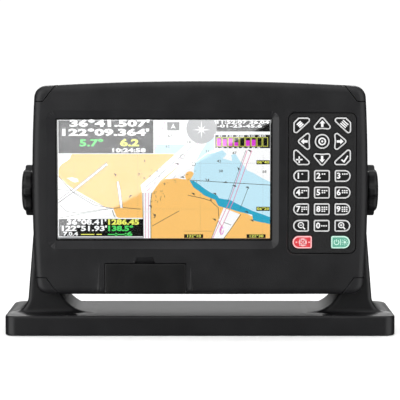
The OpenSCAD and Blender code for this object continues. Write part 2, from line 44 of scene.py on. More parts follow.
# ---------------------------------------------------------------- 2D helpers (x, z in mm)


def rounded(pts, rs, seg=0.45):
    pts = [np.array(p, float) for p in pts]
    k = len(pts)
    rs = rs if hasattr(rs, "__len__") else [rs] * k
    out = []
    for i in range(k):
        a, b, c, r = pts[i - 1], pts[i], pts[(i + 1) % k], rs[i]
        if r <= 0:
            out.append(b)
            continue
        u = (a - b) / np.linalg.norm(a - b)
        w = (c - b) / np.linalg.norm(c - b)
        half = math.acos(float(np.clip(u @ w, -1, 1))) / 2
        t1, t2 = b + u * r / math.tan(half), b + w * r / math.tan(half)
        m = b + (u + w) / np.linalg.norm(u + w) * r / math.sin(half)
        a0 = math.atan2(t1[1] - m[1], t1[0] - m[0])
        a1 = math.atan2(t2[1] - m[1], t2[0] - m[0])
        d = (a1 - a0 + math.pi) % (2 * math.pi) - math.pi
        n = max(4, int(abs(d) * r / seg))
        out += [m + r * np.array([math.cos(a0 + d * j / n), math.sin(a0 + d * j / n)]) for j in range(n + 1)]
    return dedupe(np.array(out))


def dedupe(P, eps=2e-3):
    keep = [i for i in range(len(P)) if np.linalg.norm(P[i] - P[i - 1]) > eps]
    return P[keep]


def rrect(x0, z0, x1, z1, r, seg=0.45):
    return rounded([[x0, z0], [x1, z0], [x1, z1], [x0, z1]], r, seg)


def circle(x, z, r, n=40, a0=0.0):
    t = a0 + np.arange(n) * 2 * math.pi / n
    return np.stack([x + r * np.cos(t), z + r * np.sin(t)], 1)


def area(P):
    q = np.roll(P, -1, 0)
    return 0.5 * float((P[:, 0] * q[:, 1] - q[:, 0] * P[:, 1]).sum())


def ccw(P):
    P = np.asarray(P, float)
    return P if area(P) > 0 else P[::-1]


def resample(P, step, closed=True):
    P = np.asarray(P, float)
    out = []
    k = len(P)
    for i in range(k if closed else k - 1):
        a, b = P[i], P[(i + 1) % k]
        n = max(1, int(math.ceil(np.linalg.norm(b - a) / step)))
        out += [a + (b - a) * j / n for j in range(n)]
    if not closed:
        out.append(P[-1])
    return np.array(out)


def offset(P, d):
    """Moves a counter-clockwise loop inwards by d (outwards when d is negative)."""
    P = dedupe(ccw(P))
    e = np.roll(P, -1, 0) - P
    e /= np.linalg.norm(e, axis=1)[:, None]
    n1 = np.stack([-e[:, 1], e[:, 0]], 1)
    n0 = np.roll(n1, 1, 0)
    s = n0 + n1
    s /= np.maximum(1 + (n0 * n1).sum(1), 0.25)[:, None]
    return P + d * s


def sd(P, Q):
    """Signed distance of the points Q to the loop P, negative inside."""
    P, Q = np.asarray(P, float), np.asarray(Q, float)
    out = np.full(len(Q), 1e18)
    ins = np.zeros(len(Q), bool)
    B = np.roll(P, -1, 0)
    for a, b in zip(P, B):
        e, w = b - a, Q - a
        t = np.clip((w @ e) / max(float(e @ e), 1e-18), 0, 1)
        d = w - t[:, None] * e
        out = np.minimum(out, (d * d).sum(1))
        if a[1] != b[1]:
            c = (a[1] > Q[:, 1]) != (b[1] > Q[:, 1])
            ins ^= c & (Q[:, 0] < a[0] + (Q[:, 1] - a[1]) * (b[0] - a[0]) / (b[1] - a[1]))
    out = np.sqrt(out)
    return np.where(ins, -out, out)


def clip(P, C):
    """Loop P cut by the convex counter-clockwise loop C."""
    P = [np.array(p, float) for p in P]
    for i in range(len(C)):
        a, b = np.array(C[i], float), np.array(C[(i + 1) % len(C)], float)
        n = np.array([-(b - a)[1], (b - a)[0]])
        out = []
        for j in range(len(P)):
            p, q = P[j], P[(j + 1) % len(P)]
            dp, dq = (p - a) @ n, (q - a) @ n
            if dp >= 0:
                out.append(p)
            if (dp >= 0) != (dq >= 0):
                out.append(p + (q - p) * dp / (dp - dq))
        P = out
    return dedupe(np.array(P))


def ribbon(pts, w, closed=False):
    """Flat band of width w along a line."""
    P = np.asarray(pts, float)
    k = len(P)
    L, R = [], []
    for i in range(k):
        a = P[i - 1] if (i > 0 or closed) else None
        c = P[(i + 1) % k] if (i < k - 1 or closed) else None
        ns = []
        for u, v in ((a, P[i]), (P[i], c)):
            if u is not None and v is not None:
                e = (v - u) / max(np.linalg.norm(v - u), 1e-9)
                ns.append(np.array([-e[1], e[0]]))
        s = sum(ns)
        if len(ns) == 2:
            s = s / max(1 + float(ns[0] @ ns[1]), 0.35)
        L.append(P[i] + s * w / 2)
        R.append(P[i] - s * w / 2)
    return np.array(L + R[::-1])


def crop_rings(rs, loop, holes=(), closed=True, eps=0.004):
    """Keeps ring points inside the loop and clear of the holes, so that rings never cross a boundary."""
    out = []
    for r in rs:
        R = np.asarray(r, float)
        k = sd(loop, R) < -eps
        for h in holes:
            lo, hi = h.min(0) - 1, h.max(0) + 1
            near = np.all((R > lo) & (R < hi), axis=1)
            if near.any():
                idx = np.nonzero(near)[0]
                k[idx[sd(h, R[idx]) < 0.06]] = False
        if closed and k.all():
            out.append((R, True))
            continue
        if not k.any():
            continue
        if closed:
            i0 = next(i for i in range(len(R)) if k[i] and not k[i - 1])
            R, k = np.roll(R, -i0, 0), np.roll(k, -i0)
        run = []
        for q, kk in zip(R, k):
            if kk:
                run.append(q)
            else:
                if len(run) > 1:
                    out.append((np.array(run), False))
                run = []
        if len(run) > 1:
            out.append((np.array(run), False))
    return out


# ---------------------------------------------------------------- solids in mesh code


def cdt(loops, opens, pts):
    verts, edges = [], []
    for L, closed in [(l, True) for l in loops] + [(o, False) for o in opens]:
        b = len(verts)
        verts += [Vector((float(p[0]), float(p[1]))) for p in L]
        k = len(L)
        edges += [(b + i, b + (i + 1) % k) for i in range(k if closed else k - 1)]
    verts += [Vector((float(p[0]), float(p[1]))) for p in pts]
    r = delaunay_2d_cdt(verts, edges, [], 0, 1e-5, True)
    V = np.array([v[:] for v in r[0]])
    T = np.array([f[:] for f in r[2]], int)
    return V, T, r[3]


def inside(V, T, outline, holes):
    c = V[T].mean(1)
    keep = sd(outline, c) < 0
    for h in holes:
        lo, hi = h.min(0) - 0.01, h.max(0) + 0.01
        near = np.all((c > lo) & (c < hi), axis=1) & keep
        if near.any():
            idx = np.nonzero(near)[0]
            keep[idx[sd(h, c[idx]) < 0]] = False
    T = T[keep]
    a = (V[T[:, 1]] - V[T[:, 0]])
    b = (V[T[:, 2]] - V[T[:, 0]])
    flip = a[:, 0] * b[:, 1] - a[:, 1] * b[:, 0] < 0
    T[flip] = T[flip][:, ::-1]
    return T


def filler(outline, rings, g):
    if not g:
        return []
    lo, hi = outline.min(0), outline.max(0)
    pts = []
    for j, z in enumerate(np.arange(lo[1] + g / 2, hi[1], g * 0.87)):
        pts += [(x, z) for x in np.arange(lo[0] + g / 2 + (g / 2 if j % 2 else 0), hi[0], g)]
    if not pts:
        return []
    allr = np.concatenate(rings)
    kd = kdtree.KDTree(len(allr))
    for i, p in enumerate(allr):
        kd.insert((p[0], p[1], 0), i)
    kd.balance()
    pts = [p for p in pts if kd.find((p[0], p[1], 0))[2] > g * 0.6]
    if not pts:
        return []
    pts = np.array(pts)
    return pts[sd(outline, pts) < -g * 0.3]


class Part:
    """Collects closed shells and turns them into one object."""

    def __init__(self):
        self.v, self.f, self.m = [], [], []

    def add(self, V, F, M=0):
        b = len(self.v)
        self.v += [tuple(float(c) for c in p) for p in V]
        self.f += [tuple(int(i) + b for i in f) for f in F]
        self.m += [int(M)] * len(F) if np.isscalar(M) else [int(i) for i in M]

    def relief(self, outline, H, B, holes=(), rings=(), opens=(), grid=5.0, step=3.0, paint=None,
               back_rings=(), side=0, back=None):
        """Solid between the front y = H(points) and the back y = B(points)."""
        outline = resample(ccw(outline), step)
        holes = [resample(ccw(h), step) for h in holes]
        cr = crop_rings([resample(np.asarray(r, float), step) for r in rings], outline, holes)
        cr += crop_rings([resample(np.asarray(o, float), step, False) for o in opens], outline, holes, False)
        loops = [outline] + holes + [r for r, c in cr if c]
        lines = [r for r, c in cr if not c]
        V, T, _ = cdt(loops, lines, filler(outline, loops + lines, grid))
        T = inside(V, T, outline, holes)
        used = np.unique(T)
        remap = -np.ones(len(V), int)
        remap[used] = np.arange(len(used))
        V, T = V[used], remap[T]
        # boundary
        seen = {}
        for t in T:
            for a, b in ((t[0], t[1]), (t[1], t[2]), (t[2], t[0])):
                seen[(a, b)] = True
        nxt = {a: b for (a, b) in seen if (b, a) not in seen}
        loopsi = []
        todo = dict(nxt)
        while todo:
            a, _b = todo.popitem()
            todo[a] = _b
            L = [a]
            while True:
                b = todo.pop(L[-1])
                if b == L[0]:
                    break
                L.append(b)
            loopsi.append(L)
        bl = [V[L] for L in loopsi]
        br = [resample(np.asarray(r, float), step) for r in back_rings]
        V2, T2, orig = cdt(bl + br, [], filler(outline, bl + br, grid * 2 if grid else 0))
        outer = max(range(len(bl)), key=lambda i: abs(area(bl[i])))
        T2 = inside(V2, T2, bl[outer], [ccw(bl[i]) for i in range(len(bl)) if i != outer])
        flat = [i for L in loopsi for i in L]
        match = {}
        for j, o in enumerate(orig):
            for i in o:
                if i < len(flat):
                    match[flat[i]] = j
        y1, y2 = H(V), B(V2)
        P1 = np.stack([V[:, 0], y1, V[:, 1]], 1)
        P2 = np.stack([V2[:, 0], y2, V2[:, 1]], 1)
        n = len(V)
        used2 = np.unique(np.concatenate([T2.ravel(), np.array(sorted(match.values()), int)]))
        remap2 = -np.ones(len(V2), int)
        remap2[used2] = np.arange(len(used2))
        F = [tuple(t) for t in T] + [tuple(n + remap2[t][::-1]) for t in T2]
        M = list(paint(V[T].mean(1))) if paint is not None else [0] * len(T)
        M += [side if back is None else back] * len(T2)
        for L in loopsi:
            for a, b in zip(L, L[1:] + L[:1]):
                F.append((b, a, n + remap2[match[a]], n + remap2[match[b]]))
                M.append(side)
        self.add(np.concatenate([P1, P2[used2]]), F, M)

    def prism(self, P, y0, y1, M=0, cham=0.0):
        """Plate of the loop P from y0 to y1, with its front edge broken by cham."""
        P = dedupe(ccw(P))
        rings = [(P, y1), (P, y0 + cham)]
        if cham:
            rings += [(offset(P, cham * 0.3), y0 + cham * 0.3), (offset(P, cham), y0)]
        k = len(P)
        V, F = [], []
        for R, y in rings:
            V += [(p[0], y, p[1]) for p in R]
        for r in range(len(rings) - 1):
            F += [(r * k + i, r * k + (i + 1) % k, (r + 1) * k + (i + 1) % k, (r + 1) * k + i) for i in range(k)]
        F.append(tuple(range(k))[::-1])
        F.append(tuple(range((len(rings) - 1) * k, len(rings) * k)))
        self.add(V, F, M)

    def text(self, s, x, z, h, y, t, M=0, squeeze=1.0, align="CENTER", bold=0.0, rot=0.0, span=None):
        """Digits and marks of height h, standing t out of the plane y; span sets their whole width."""
        c = bpy.data.curves.new("glyph", "FONT")
        c.body, c.size, c.align_x, c.align_y = s, 1.0, align, "CENTER"
        c.extrude, c.resolution_u, c.offset = 0.5, 2, bold
        o = bpy.data.objects.new("glyph", c)
        bpy.context.scene.collection.objects.link(o)
        me = o.evaluated_get(bpy.context.evaluated_depsgraph_get()).to_mesh()
        k = h / 0.70
        co, si = math.cos(rot), math.sin(rot)
        mid = 0.0
        if span:
            us = [v.co.x * k for v in me.vertices]
            squeeze, mid = span / (max(us) - min(us)), (max(us) + min(us)) / 2
        V = []
        for v in me.vertices:
            u, w = (v.co.x * k - mid) * squeeze, v.co.y * k
            V.append((x + u * co - w * si, y - t / 2 - v.co.z * t, z + u * si + w * co))
        F = [tuple(p.vertices) for p in me.polygons]
        self.add(V, F, M)
        bpy.data.objects.remove(o)
        bpy.data.curves.remove(c)

    def lathe(self, prof, centre, axis, M=0, n=48):
        """Closed turned shell: prof is a closed loop of (radius, along)."""
        c, V, F = np.array(centre, float), [], []
        ax = {"x": (0, 1, 2), "y": (1, 2, 0), "z": (2, 0, 1)}[axis]
        prof = list(prof)
        for i in range(n):
            t = 2 * math.pi * i / n
            for r, a in prof:
                p = [0.0, 0.0, 0.0]
                p[ax[0]], p[ax[1]], p[ax[2]] = a, r * math.cos(t), r * math.sin(t)
                V.append(c + p)
        k = len(prof)
        for i in range(n):
            for j in range(k):
                a, b = i * k + j, i * k + (j + 1) % k
                F.append((a, b, ((i + 1) % n) * k + (j + 1) % k, ((i + 1) % n) * k + j))
        self.add(V, F, M)

    def build(self, name, mats, body, replaces=(), angle=35.0, weld=True, bevel=0.0):
        me = bpy.data.meshes.new(name)
        me.from_pydata([(x * MM, y * MM, z * MM) for x, y, z in self.v], [], self.f)
        for m in mats:
            me.materials.append(m)
        me.polygons.foreach_set("material_index", self.m)
        me.polygons.foreach_set("use_smooth", [True] * len(me.polygons))
        me.validate()
        me.set_sharp_from_angle(angle=math.radians(angle))
        o = bpy.data.objects.new(name, me)
        bpy.context.scene.collection.objects.link(o)
        if bevel:
            b = o.modifiers.new("edge", "BEVEL")
            b.width, b.segments, b.limit_method, b.angle_limit = bevel * MM, 2, "ANGLE", math.radians(40)
        w = o.modifiers.new("normals", "WEIGHTED_NORMAL")
        w.keep_sharp = True
        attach(o, body)
        if replaces:
            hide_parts(*replaces)
        return o


# ---------------------------------------------------------------- level sets


def smin(a, b, k):
    h = np.clip(0.5 + 0.5 * (b - a) / k, 0, 1)
    return b + (a - b) * h - k * h * (1 - h)


def smax(a, b, k):
    return -smin(-a, -b, k)


def nets(field, grid_field, lo, hi, h):
    """Mesh of field = 0 by surface nets, then pulled onto the surface."""
    ax = [np.arange(lo[i], hi[i] + h, h) for i in range(3)]
    val = grid_field(*ax)
    nx, ny, nz = val.shape
    neg = val < 0
    cells = np.zeros((nx - 1, ny - 1, nz - 1), int)
    for dx in (0, 1):
        for dy in (0, 1):
            for dz in (0, 1):
                cells += neg[dx:nx - 1 + dx, dy:ny - 1 + dy, dz:nz - 1 + dz]
    act = (cells > 0) & (cells < 8)
    idx = -np.ones(act.shape, int)
    I, J, K = np.nonzero(act)
    idx[I, J, K] = np.arange(len(I))
    acc = np.zeros((len(I), 3))
    cnt = np.zeros(len(I))
    corners = [(a, b, c) for a in (0, 1) for b in (0, 1) for c in (0, 1)]
    for p in corners:
        for d in range(3):
            if p[d]:
                continue
            q = list(p)
            q[d] = 1
            v0 = val[I + p[0], J + p[1], K + p[2]]
            v1 = val[I + q[0], J + q[1], K + q[2]]
            cr = (v0 < 0) != (v1 < 0)
            t = np.where(cr, v0 / np.where(cr, v0 - v1, 1), 0)
            for e in range(3):
                acc[:, e] += np.where(cr, p[e] + (t if e == d else 0), 0)
            cnt += cr
    P = acc / cnt[:, None]
    P = np.stack([ax[0][I], ax[1][J], ax[2][K]], 1) + P * h
    F = []
    for d in range(3):
        a, b = (d + 1) % 3, (d + 2) % 3
        sl0 = [slice(None)] * 3
        sl1 = [slice(None)] * 3
        sl0[d], sl1[d] = slice(0, -1), slice(1, None)
        n0, n1 = neg[tuple(sl0)], neg[tuple(sl1)]
        ch = n0 != n1
        e = np.stack(np.nonzero(ch), 1)
        ok = (e[:, a] > 0) & (e[:, b] > 0) & (e[:, a] < idx.shape[a]) & (e[:, b] < idx.shape[b])
        e = e[ok]
        s = n0[e[:, 0], e[:, 1], e[:, 2]]
        q = []
        for da, db in ((1, 1), (0, 1), (0, 0), (1, 0)):
            c = e.copy()
            c[:, a] -= da
            c[:, b] -= db
            q.append(idx[c[:, 0], c[:, 1], c[:, 2]])
        q = np.stack(q, 1)
        q[~s] = q[~s][:, ::-1]
        F.append(q)
    F = np.concatenate(F)
    for _ in range(6):
        f = field(P)
        g = np.stack([field(P + d) - field(P - d) for d in np.eye(3) * 0.02], 1) / 0.04
        step = (f / np.maximum((g * g).sum(1), 0.2))[:, None] * g
        P -= np.clip(step, -h / 2, h / 2) * 0.8
    return P, F


# ---------------------------------------------------------------- materials


def rgb(h, k=1.0):
    c = [int(h[i:i + 2], 16) / 255 for i in (0, 2, 4)]
    return tuple(k * (x / 12.92 if x <= 0.04045 else ((x + 0.055) / 1.055) ** 2.4) for x in c) + (1.0,)


def mat(name, col, rough=0.5, var=0.12, scale=60.0, bump=0.0, bscale=900.0, metal=0.0, spec=0.5, rvar=0.08,
        emit=0.0, coat=0.0, anis=None, transmission=0.0, sss=0.0):
    """Plastic, metal or lit film whose colour, gloss and grain come from noise."""
    m = bpy.data.materials.new(name)
    m.use_nodes = True
    t = m.node_tree
    b = t.nodes["Principled BSDF"]
    tc = t.nodes.new("ShaderNodeTexCoord")
    mp = t.nodes.new("ShaderNodeMapping")
    t.links.new(tc.outputs["Object"], mp.inputs["Vector"])
    if anis:
        mp.inputs["Scale"].default_value = anis
    n = t.nodes.new("ShaderNodeTexNoise")
    n.inputs["Scale"].default_value = scale
    n.inputs["Detail"].default_value = 4
    t.links.new(mp.outputs["Vector"], n.inputs["Vector"])
    r = t.nodes.new("ShaderNodeValToRGB")
    lo = tuple(c * (1 - var) for c in col[:3]) + (1,)
    hi = tuple(min(1, c * (1 + var)) for c in col[:3]) + (1,)
    r.color_ramp.elements[0].position, r.color_ramp.elements[0].color = 0.3, lo
    r.color_ramp.elements[1].position, r.color_ramp.elements[1].color = 0.7, hi
    t.links.new(n.outputs["Fac"], r.inputs["Fac"])
    t.links.new(r.outputs["Color"], b.inputs["Base Color"])
    q = t.nodes.new("ShaderNodeMapRange")
    q.inputs["To Min"].default_value, q.inputs["To Max"].default_value = max(0.0, rough - rvar), min(1, rough + rvar)
    t.links.new(n.outputs["Fac"], q.inputs["Value"])
    t.links.new(q.outputs["Result"], b.inputs["Roughness"])
    b.inputs["Metallic"].default_value = metal
    b.inputs["Specular IOR Level"].default_value = spec
    b.inputs["Coat Weight"].default_value = coat
    b.inputs["Transmission Weight"].default_value = transmission
    if emit:
        t.links.new(r.outputs["Color"], b.inputs["Emission Color"])
        b.inputs["Emission Strength"].default_value = emit
    if bump:
        g = t.nodes.new("ShaderNodeTexNoise")
        g.inputs["Scale"].default_value = bscale
        g.inputs["Detail"].default_value = 2
        t.links.new(mp.outputs["Vector"], g.inputs["Vector"])
        u = t.nodes.new("ShaderNodeBump")
        u.inputs["Strength"].default_value = bump
        u.inputs["Distance"].default_value = 0.0003
        t.links.new(g.outputs["Fac"], u.inputs["Height"])
        t.links.new(u.outputs["Normal"], b.inputs["Normal"])
    return m


M_bezel = mat("bezel_plastic", rgb("1c1c1e"), 0.42, bump=0.25, bscale=1100, spec=0.45)
M_cap = mat("cap_plastic", rgb("1d1d1f"), 0.42, bump=0.25, bscale=1100, spec=0.45)
M_seam = mat("seam_shadow", rgb("0d0d0d"), 0.7, spec=0.2)
# lighter tone than the bezel plastic: a painted sheen on the screen recess slopes, standing in for the light they catch
# (the lower roughness is the real gloss)
M_slope_painted_sheen = mat("recess_slope_painted_sheen", rgb("222224"), 0.34, bump=0.12, bscale=900, spec=0.5)
M_door = mat("door_plastic", rgb("161617"), 0.38, bump=0.22, bscale=1100)
M_plate = mat("keypad_plate_grain", rgb("1b1b1c"), 0.5, var=0.35, scale=700, bump=0.9, bscale=1400, spec=0.45)
M_key = mat("key_cap", rgb("141415"), 0.5, bump=0.3, bscale=1500, spec=0.4)
M_rim = mat("key_outline", rgb("c9c9c9"), 0.45, var=0.05, scale=300)
M_leg = mat("key_legend", rgb("e6e6e6"), 0.4, var=0.04, scale=300)
M_red = mat("key_red", rgb("cf2f38"), 0.38, var=0.06, scale=250, bump=0.1)
M_redrim = mat("key_red_outline", rgb("f2b3b5"), 0.4, var=0.04, scale=250)
M_green = mat("key_green", rgb("5aa48c"), 0.38, var=0.06, scale=250, bump=0.1)
M_greenrim = mat("key_green_outline", rgb("bfe6d6"), 0.4, var=0.04, scale=250)
M_yoke = mat("bracket_plastic", rgb("1b1b1d"), 0.36, rvar=0.03, bump=0.04, bscale=1000, spec=0.5)
M_knob = mat("knob_plastic", rgb("19191b"), 0.42, bump=0.35, bscale=900, spec=0.45)
M_house = mat("housing_plastic", rgb("232325"), 0.5, bump=0.3, bscale=1000, spec=0.4)
M_rubber = mat("rubber_black", rgb("151515"), 0.8, bump=0.4, bscale=800, spec=0.2)
M_grey = mat("rubber_grey", rgb("6f7174"), 0.75, bump=0.3, bscale=800, spec=0.25)
M_steel = mat("stainless", rgb("b9babc"), 0.28, var=0.06, scale=500, metal=1.0, bump=0.1, bscale=1500)
M_zinc = mat("zinc_sheet", rgb("a7aaad"), 0.4, var=0.1, scale=120, metal=1.0, bump=0.1, bscale=900)
M_brass = mat("brass_turned", rgb("b8934a"), 0.3, var=0.08, scale=300, metal=1.0, bump=0.1, bscale=1500)
M_board = mat("solder_resist", rgb("1c5a36"), 0.35, var=0.15, scale=400, bump=0.15, bscale=700)
M_conn = mat("connector_plastic", rgb("1d1d1e"), 0.5, bump=0.3, bscale=1200)
M_card = mat("card_plastic", rgb("2a4a8a"), 0.4, bump=0.1)
M_part = mat("buzzer_plastic", rgb("1a1a1a"), 0.5, bump=0.1)
M_glass = mat("window_clear", (0.97, 0.98, 0.985, 1), 0.015, var=0.01, scale=20, rvar=0.01, spec=0.5, transmission=0.994)

# ---------------------------------------------------------------- the head's shape (mm)

LX, LZ, LW, LH = -26.1, 113.9, 154.08, 85.92


def face_y(x):
    return -40 + x * x / 8268


def edge_top(x):
    return 185.1 - x * x / 3804


def edge_side(z):
    return 122 - (z - 107.55) ** 2 / 2404


def head_loop(g=0.0, r=9.0, n=24):
    """Front outline of the head, moved inwards by g."""
    zc = edge_top(119.8)
    rc = max(r - g, 1.0)
    right = [([edge_side(30.0) - g, 30.0 + g], rc)]
    right += [([edge_side(z) - g, z], 0) for z in np.linspace(30.0 + 11, zc - 11, n)]
    right += [([edge_side(zc) - g, zc - g], rc)]
    top = [([x, edge_top(x) - g], 0) for x in np.linspace(107, -107, 2 * n)]
    left = [([-q[0], q[1]], k) for q, k in right[::-1]]
    P = right + top + left
    return ccw(rounded([q for q, k in P], [k for q, k in P], 0.6))


HEAD = head_loop()
FLUSH = [(sx * 114, z) for sx in (-1, 1) for z in (37.5, 176.5)]


def cap_zone(top, left, g=0.0):
    if top:
        P = [[102.1 + g, 200], [102.1 + g, 184.6], [113.4 + g * 0.7, 170.1 + g], [140, 170.1 + g], [140, 200]]
    else:
        P = [[140, 42.6 - g], [111.8 + g * 0.7, 42.6 - g], [102.7 + g, 29.9], [102.7 + g, 20], [140, 20]]
    P = np.array(P, float)
    if left:
        P[:, 0] *= -1
    return ccw(P)


ZONES = [cap_zone(t, l) for t in (True, False) for l in (True, False)]


def roll(d, w, h):
    """Depth of an edge rounding of width w and depth h at distance d inside the edge."""
    e = np.clip((w - d) / w, 0, 1)
    return h * (1 - np.sqrt(np.maximum(0, 1 - e * e)))


EDGE_W, EDGE_H = 5.6, 5.0
RING_T = [1 - math.cos(a * math.pi / 180) for a in (0, 8, 17, 27, 38, 50, 63, 76, 90)]


# recess round the screen
REC_O = rrect(LX - 84.5, 63.8, 57, 163.3, 6.0)
REC_I = rrect(LX - LW / 2 - 1.6, LZ - LH / 2 - 1.6, LX + LW / 2 + 1.6, LZ + LH / 2 + 1.6, 1.2)
WIN = rrect(LX - LW / 2 - 0.8, LZ - LH / 2 - 0.8, LX + LW / 2 + 0.8, LZ + LH / 2 + 0.8, 0.9)
PAD = rrect(63.6, 59.9, 113.3, 162.4, 5.0)
PAD_O = offset(PAD, -0.9)
DOORP = rounded([[-69.3, 30.9], [-10.1, 30.9], [-10.1, 53.2], [-69.3, 53.2]], 0.6)
SCOOP = ccw(np.array([[-47.3, 53.2], [-32.6, 53.2], [-33.8, 57.8], [-46.2, 57.8]], float))
RIDGES = [np.array([[-75.1, 31.2], [-71.4, 31.2], [-72.8, 53.6], [-73.4, 53.6]], float),
          np.array([[-8.0, 31.2], [-5.0, 31.2], [-6.5, 49.8], [-7.0, 49.8]], float)]


def bezel_front(Q):
    x, z = Q[:, 0], Q[:, 1]
    y = face_y(x) + roll(-sd(HEAD, Q), EDGE_W, EDGE_H)
    for r in RIDGES:
        s = sd(r, Q)
        y = y - np.clip(-s / 1.0, 0, 1) * 0.55
    # screen recess
    so, si = sd(REC_O, Q), sd(REC_I, Q)
    t = np.clip(-so, 0, None) / np.maximum(np.clip(-so, 0, None) + np.clip(si, 0, None), 1e-9)
    y = np.where(so < 0, y * (1 - t) + (-37.2) * t, y + roll(np.maximum(so, 0), 0.45, 0.30) * (so < 0.45))
    # keypad pocket with its flared rim
    sp, spo = sd(PAD, Q), sd(PAD_O, Q)
    f = np.clip(-spo / 0.9, 0, 1)
    y = np.where(spo < 0, np.maximum(y, y + (-38.7 - y) * f), y)
    y = np.where(sp < -1e-4, -38.7 + np.clip(-sp / 0.12, 0, 1) * 8.9, y)
    # card door pocket and finger scoop
    sc = sd(SCOOP, Q)
    k = np.clip((57.8 - z) / 4.6, 0, 1)
    y = np.where(sc < 0, y + np.clip(-sc / 0.25, 0, 1) * k * 2.3, y)
    s = sd(DOORP, Q)
    y = np.where(s < 0, np.maximum(y, y + (-37.2 - y) * np.clip(-s / 0.1, 0, 1)), y + roll(s, 0.3, 0.2) * (s < 0.3) * (sc > 0))
    # seats of the corner covers
    for c in ZONES:
        s = sd(c, Q)
        y = np.where(s < 0, y + (-33 - y) * np.clip(-s / 0.1, 0, 1), y + roll(s, 0.35, 0.3) * (s < 0.35))
    return y


def bezel_paint(C):
    so, si = sd(REC_O, C), sd(REC_I, C)
    m = np.zeros(len(C), int)
    # index 1, the recess slopes, takes the lighter material: a painted sheen
    m[(so < -0.05) & (si > 0.0)] = 1
    m[si <= 0.0] = 2
    return m


CAVITY = rrect(-106.6, 43.5, 60.5, 171.5, 5)


def bezel_back(Q):
    y = np.full(len(Q), -28.0)
    s = sd(CAVITY, Q)
    y = np.where(s < 0, -28 - np.clip(-s / 0.1, 0, 1) * 8.2, y)
    return y - roll(-sd(HEAD, Q), 0.6, 0.6)


zone_rings = []
for c in ZONES:
    zone_rings += [offset(c, d) for d in (0.1, 0.0, -0.08, -0.2, -0.35)]
base_rings = [offset(HEAD, EDGE_W * t) for t in RING_T[1:]]
other = [REC_O, offset(REC_O, -0.45), offset(REC_O, -0.2), REC_I, PAD_O, PAD, offset(PAD, 0.12), DOORP,
         offset(DOORP, 0.1), offset(DOORP, -0.3), offset(DOORP, -0.12), SCOOP, offset(SCOOP, 0.25)] + RIDGES
flush = [circle(x, z, 2.1, 24) for x, z in FLUSH]
CARD = rrect(-55.6, 43.9, -23.8, 48.3, 0.8)
p = Part()
p.relief(HEAD, bezel_front, bezel_back, holes=[WIN, CARD] + flush,
         rings=base_rings + other + zone_rings,
         opens=[np.array([[a, 31.9], [b, c]]) for a, b, c in ((-73.9, -73.2, 52.8), (-72.6, -73.0, 52.8), (-6.9, -6.8, 49.2), (-6.0, -6.6, 49.2))],
         grid=6.0, step=3.0, paint=bezel_paint, back_rings=[CAVITY, offset(CAVITY, 0.1), offset(HEAD, 0.3), offset(HEAD, 0.6)])
p.build("bezel_shell", [M_bezel, M_slope_painted_sheen, M_seam], "head", ["front_bezel"])

# corner covers
for top in (True, False):
    for left in (True, False):
        O = clip(head_loop(0.15), list(cap_zone(top, left, 0.42)))
        HO = head_loop(0.15)

        def cap_front(Q, O=O, HO=HO):
            d = -sd(HO, Q)
            return face_y(Q[:, 0]) - 0.05 + roll(d, EDGE_W, EDGE_H) + roll(-sd(O, Q), 0.4, 0.3) * (d > 0.6)

        p = Part()
        p.relief(O, cap_front, lambda Q: np.full(len(Q), -33.02),
                 rings=[offset(O, d) for d in (0.08, 0.2, 0.4)] + [offset(HO, EDGE_W * t) for t in RING_T[1:]], grid=3.0, step=1.5)
        n = "cap_%s_%s" % ("top" if top else "bottom", "left" if left else "right")
        p.build(n + "_cover", [M_cap], "head", [n])

# ---------------------------------------------------------------- keys

KX, PZ, RZ, PX, PV = 88.2, 141.6, 116.6, 15.0, 12.05


def stadium(w, h):
    r = h / 2
    a = np.linspace(math.pi / 2, 1.5 * math.pi, 22)
    L = np.stack([-w / 2 + r + r * np.cos(a), r * np.sin(a)], 1)
    q = rounded([[0, -r], [w / 2, -r], [w / 2, r], [0, r]], [0, 1.3, 1.3, 0])
    return dedupe(np.concatenate([L, q]))


def arrow():
    return ccw(rounded([[0, 5.8], [-8.9, -4.8], [0, -3.9], [8.9, -4.8]], [2, 2, 9, 2]))


def corner():
    return ccw(rounded([[-2.3, 5.5], [-5.95, 1.9], [-5.95, -8.5], [9.3, 5.5]], [1.2, 1.2, 2, 2]))


def turn(P, a):
    c, s = math.cos(math.radians(a)), math.sin(math.radians(a))
    return P @ np.array([[c, s], [-s, c]])


def mirror(P, x=True):
    return ccw(P * (np.array([-1, 1]) if x else np.array([1, -1])))


W, Hh = 11.6, 8.7
SH = {"mid": rrect(-W / 2, -Hh / 2, W / 2, Hh / 2, 1.5), "left": stadium(W, Hh), "right": mirror(stadium(W, Hh)),
      "red": stadium(14.1, 9.1), "green": mirror(stadium(13.7, 9.1)), "round": circle(0, 0, 5.4, 64),
      "up": arrow(), "down": mirror(arrow(), False), "lf": turn(arrow(), 90), "rt": turn(arrow(), -90),
      "tl": corner(), "tr": mirror(corner()), "bl": mirror(corner(), False), "br": turn(corner(), 180)}
KEYS = {"key_up": (0, 12.8, "up"), "key_down": (0, -12.8, "down"), "key_left": (-12.9, 0, "lf"), "key_right": (12.9, 0, "rt"),
        "key_centre": (0, 0, "round"), "key_top_left": (-14.95, 11.75, "tl"), "key_top_right": (14.95, 11.75, "tr"),
        "key_bottom_left": (-14.95, -11.75, "bl"), "key_bottom_right": (14.95, -11.75, "br")}
KEYS = {k: (KX + v[0], PZ + v[1], v[2]) for k, v in KEYS.items()}
for i in range(9):
    KEYS["key_%d" % (i + 1)] = (KX + (i % 3 - 1) * PX, RZ - (i // 3) * PV, ("left", "mid", "right")[i % 3])
KEYS["key_zoom_out"] = (KX - PX, RZ - 3 * PV, "left")
KEYS["key_0"] = (KX, RZ - 3 * PV, "mid")
KEYS["key_zoom_in"] = (KX + PX, RZ - 3 * PV, "right")
KEYS["key_red"] = (KX - 14.05, RZ - 4 * PV + 0.1, "red")
KEYS["key_power"] = (KX + 13.75, RZ - 4 * PV + 0.1, "green")

KY = -39.6


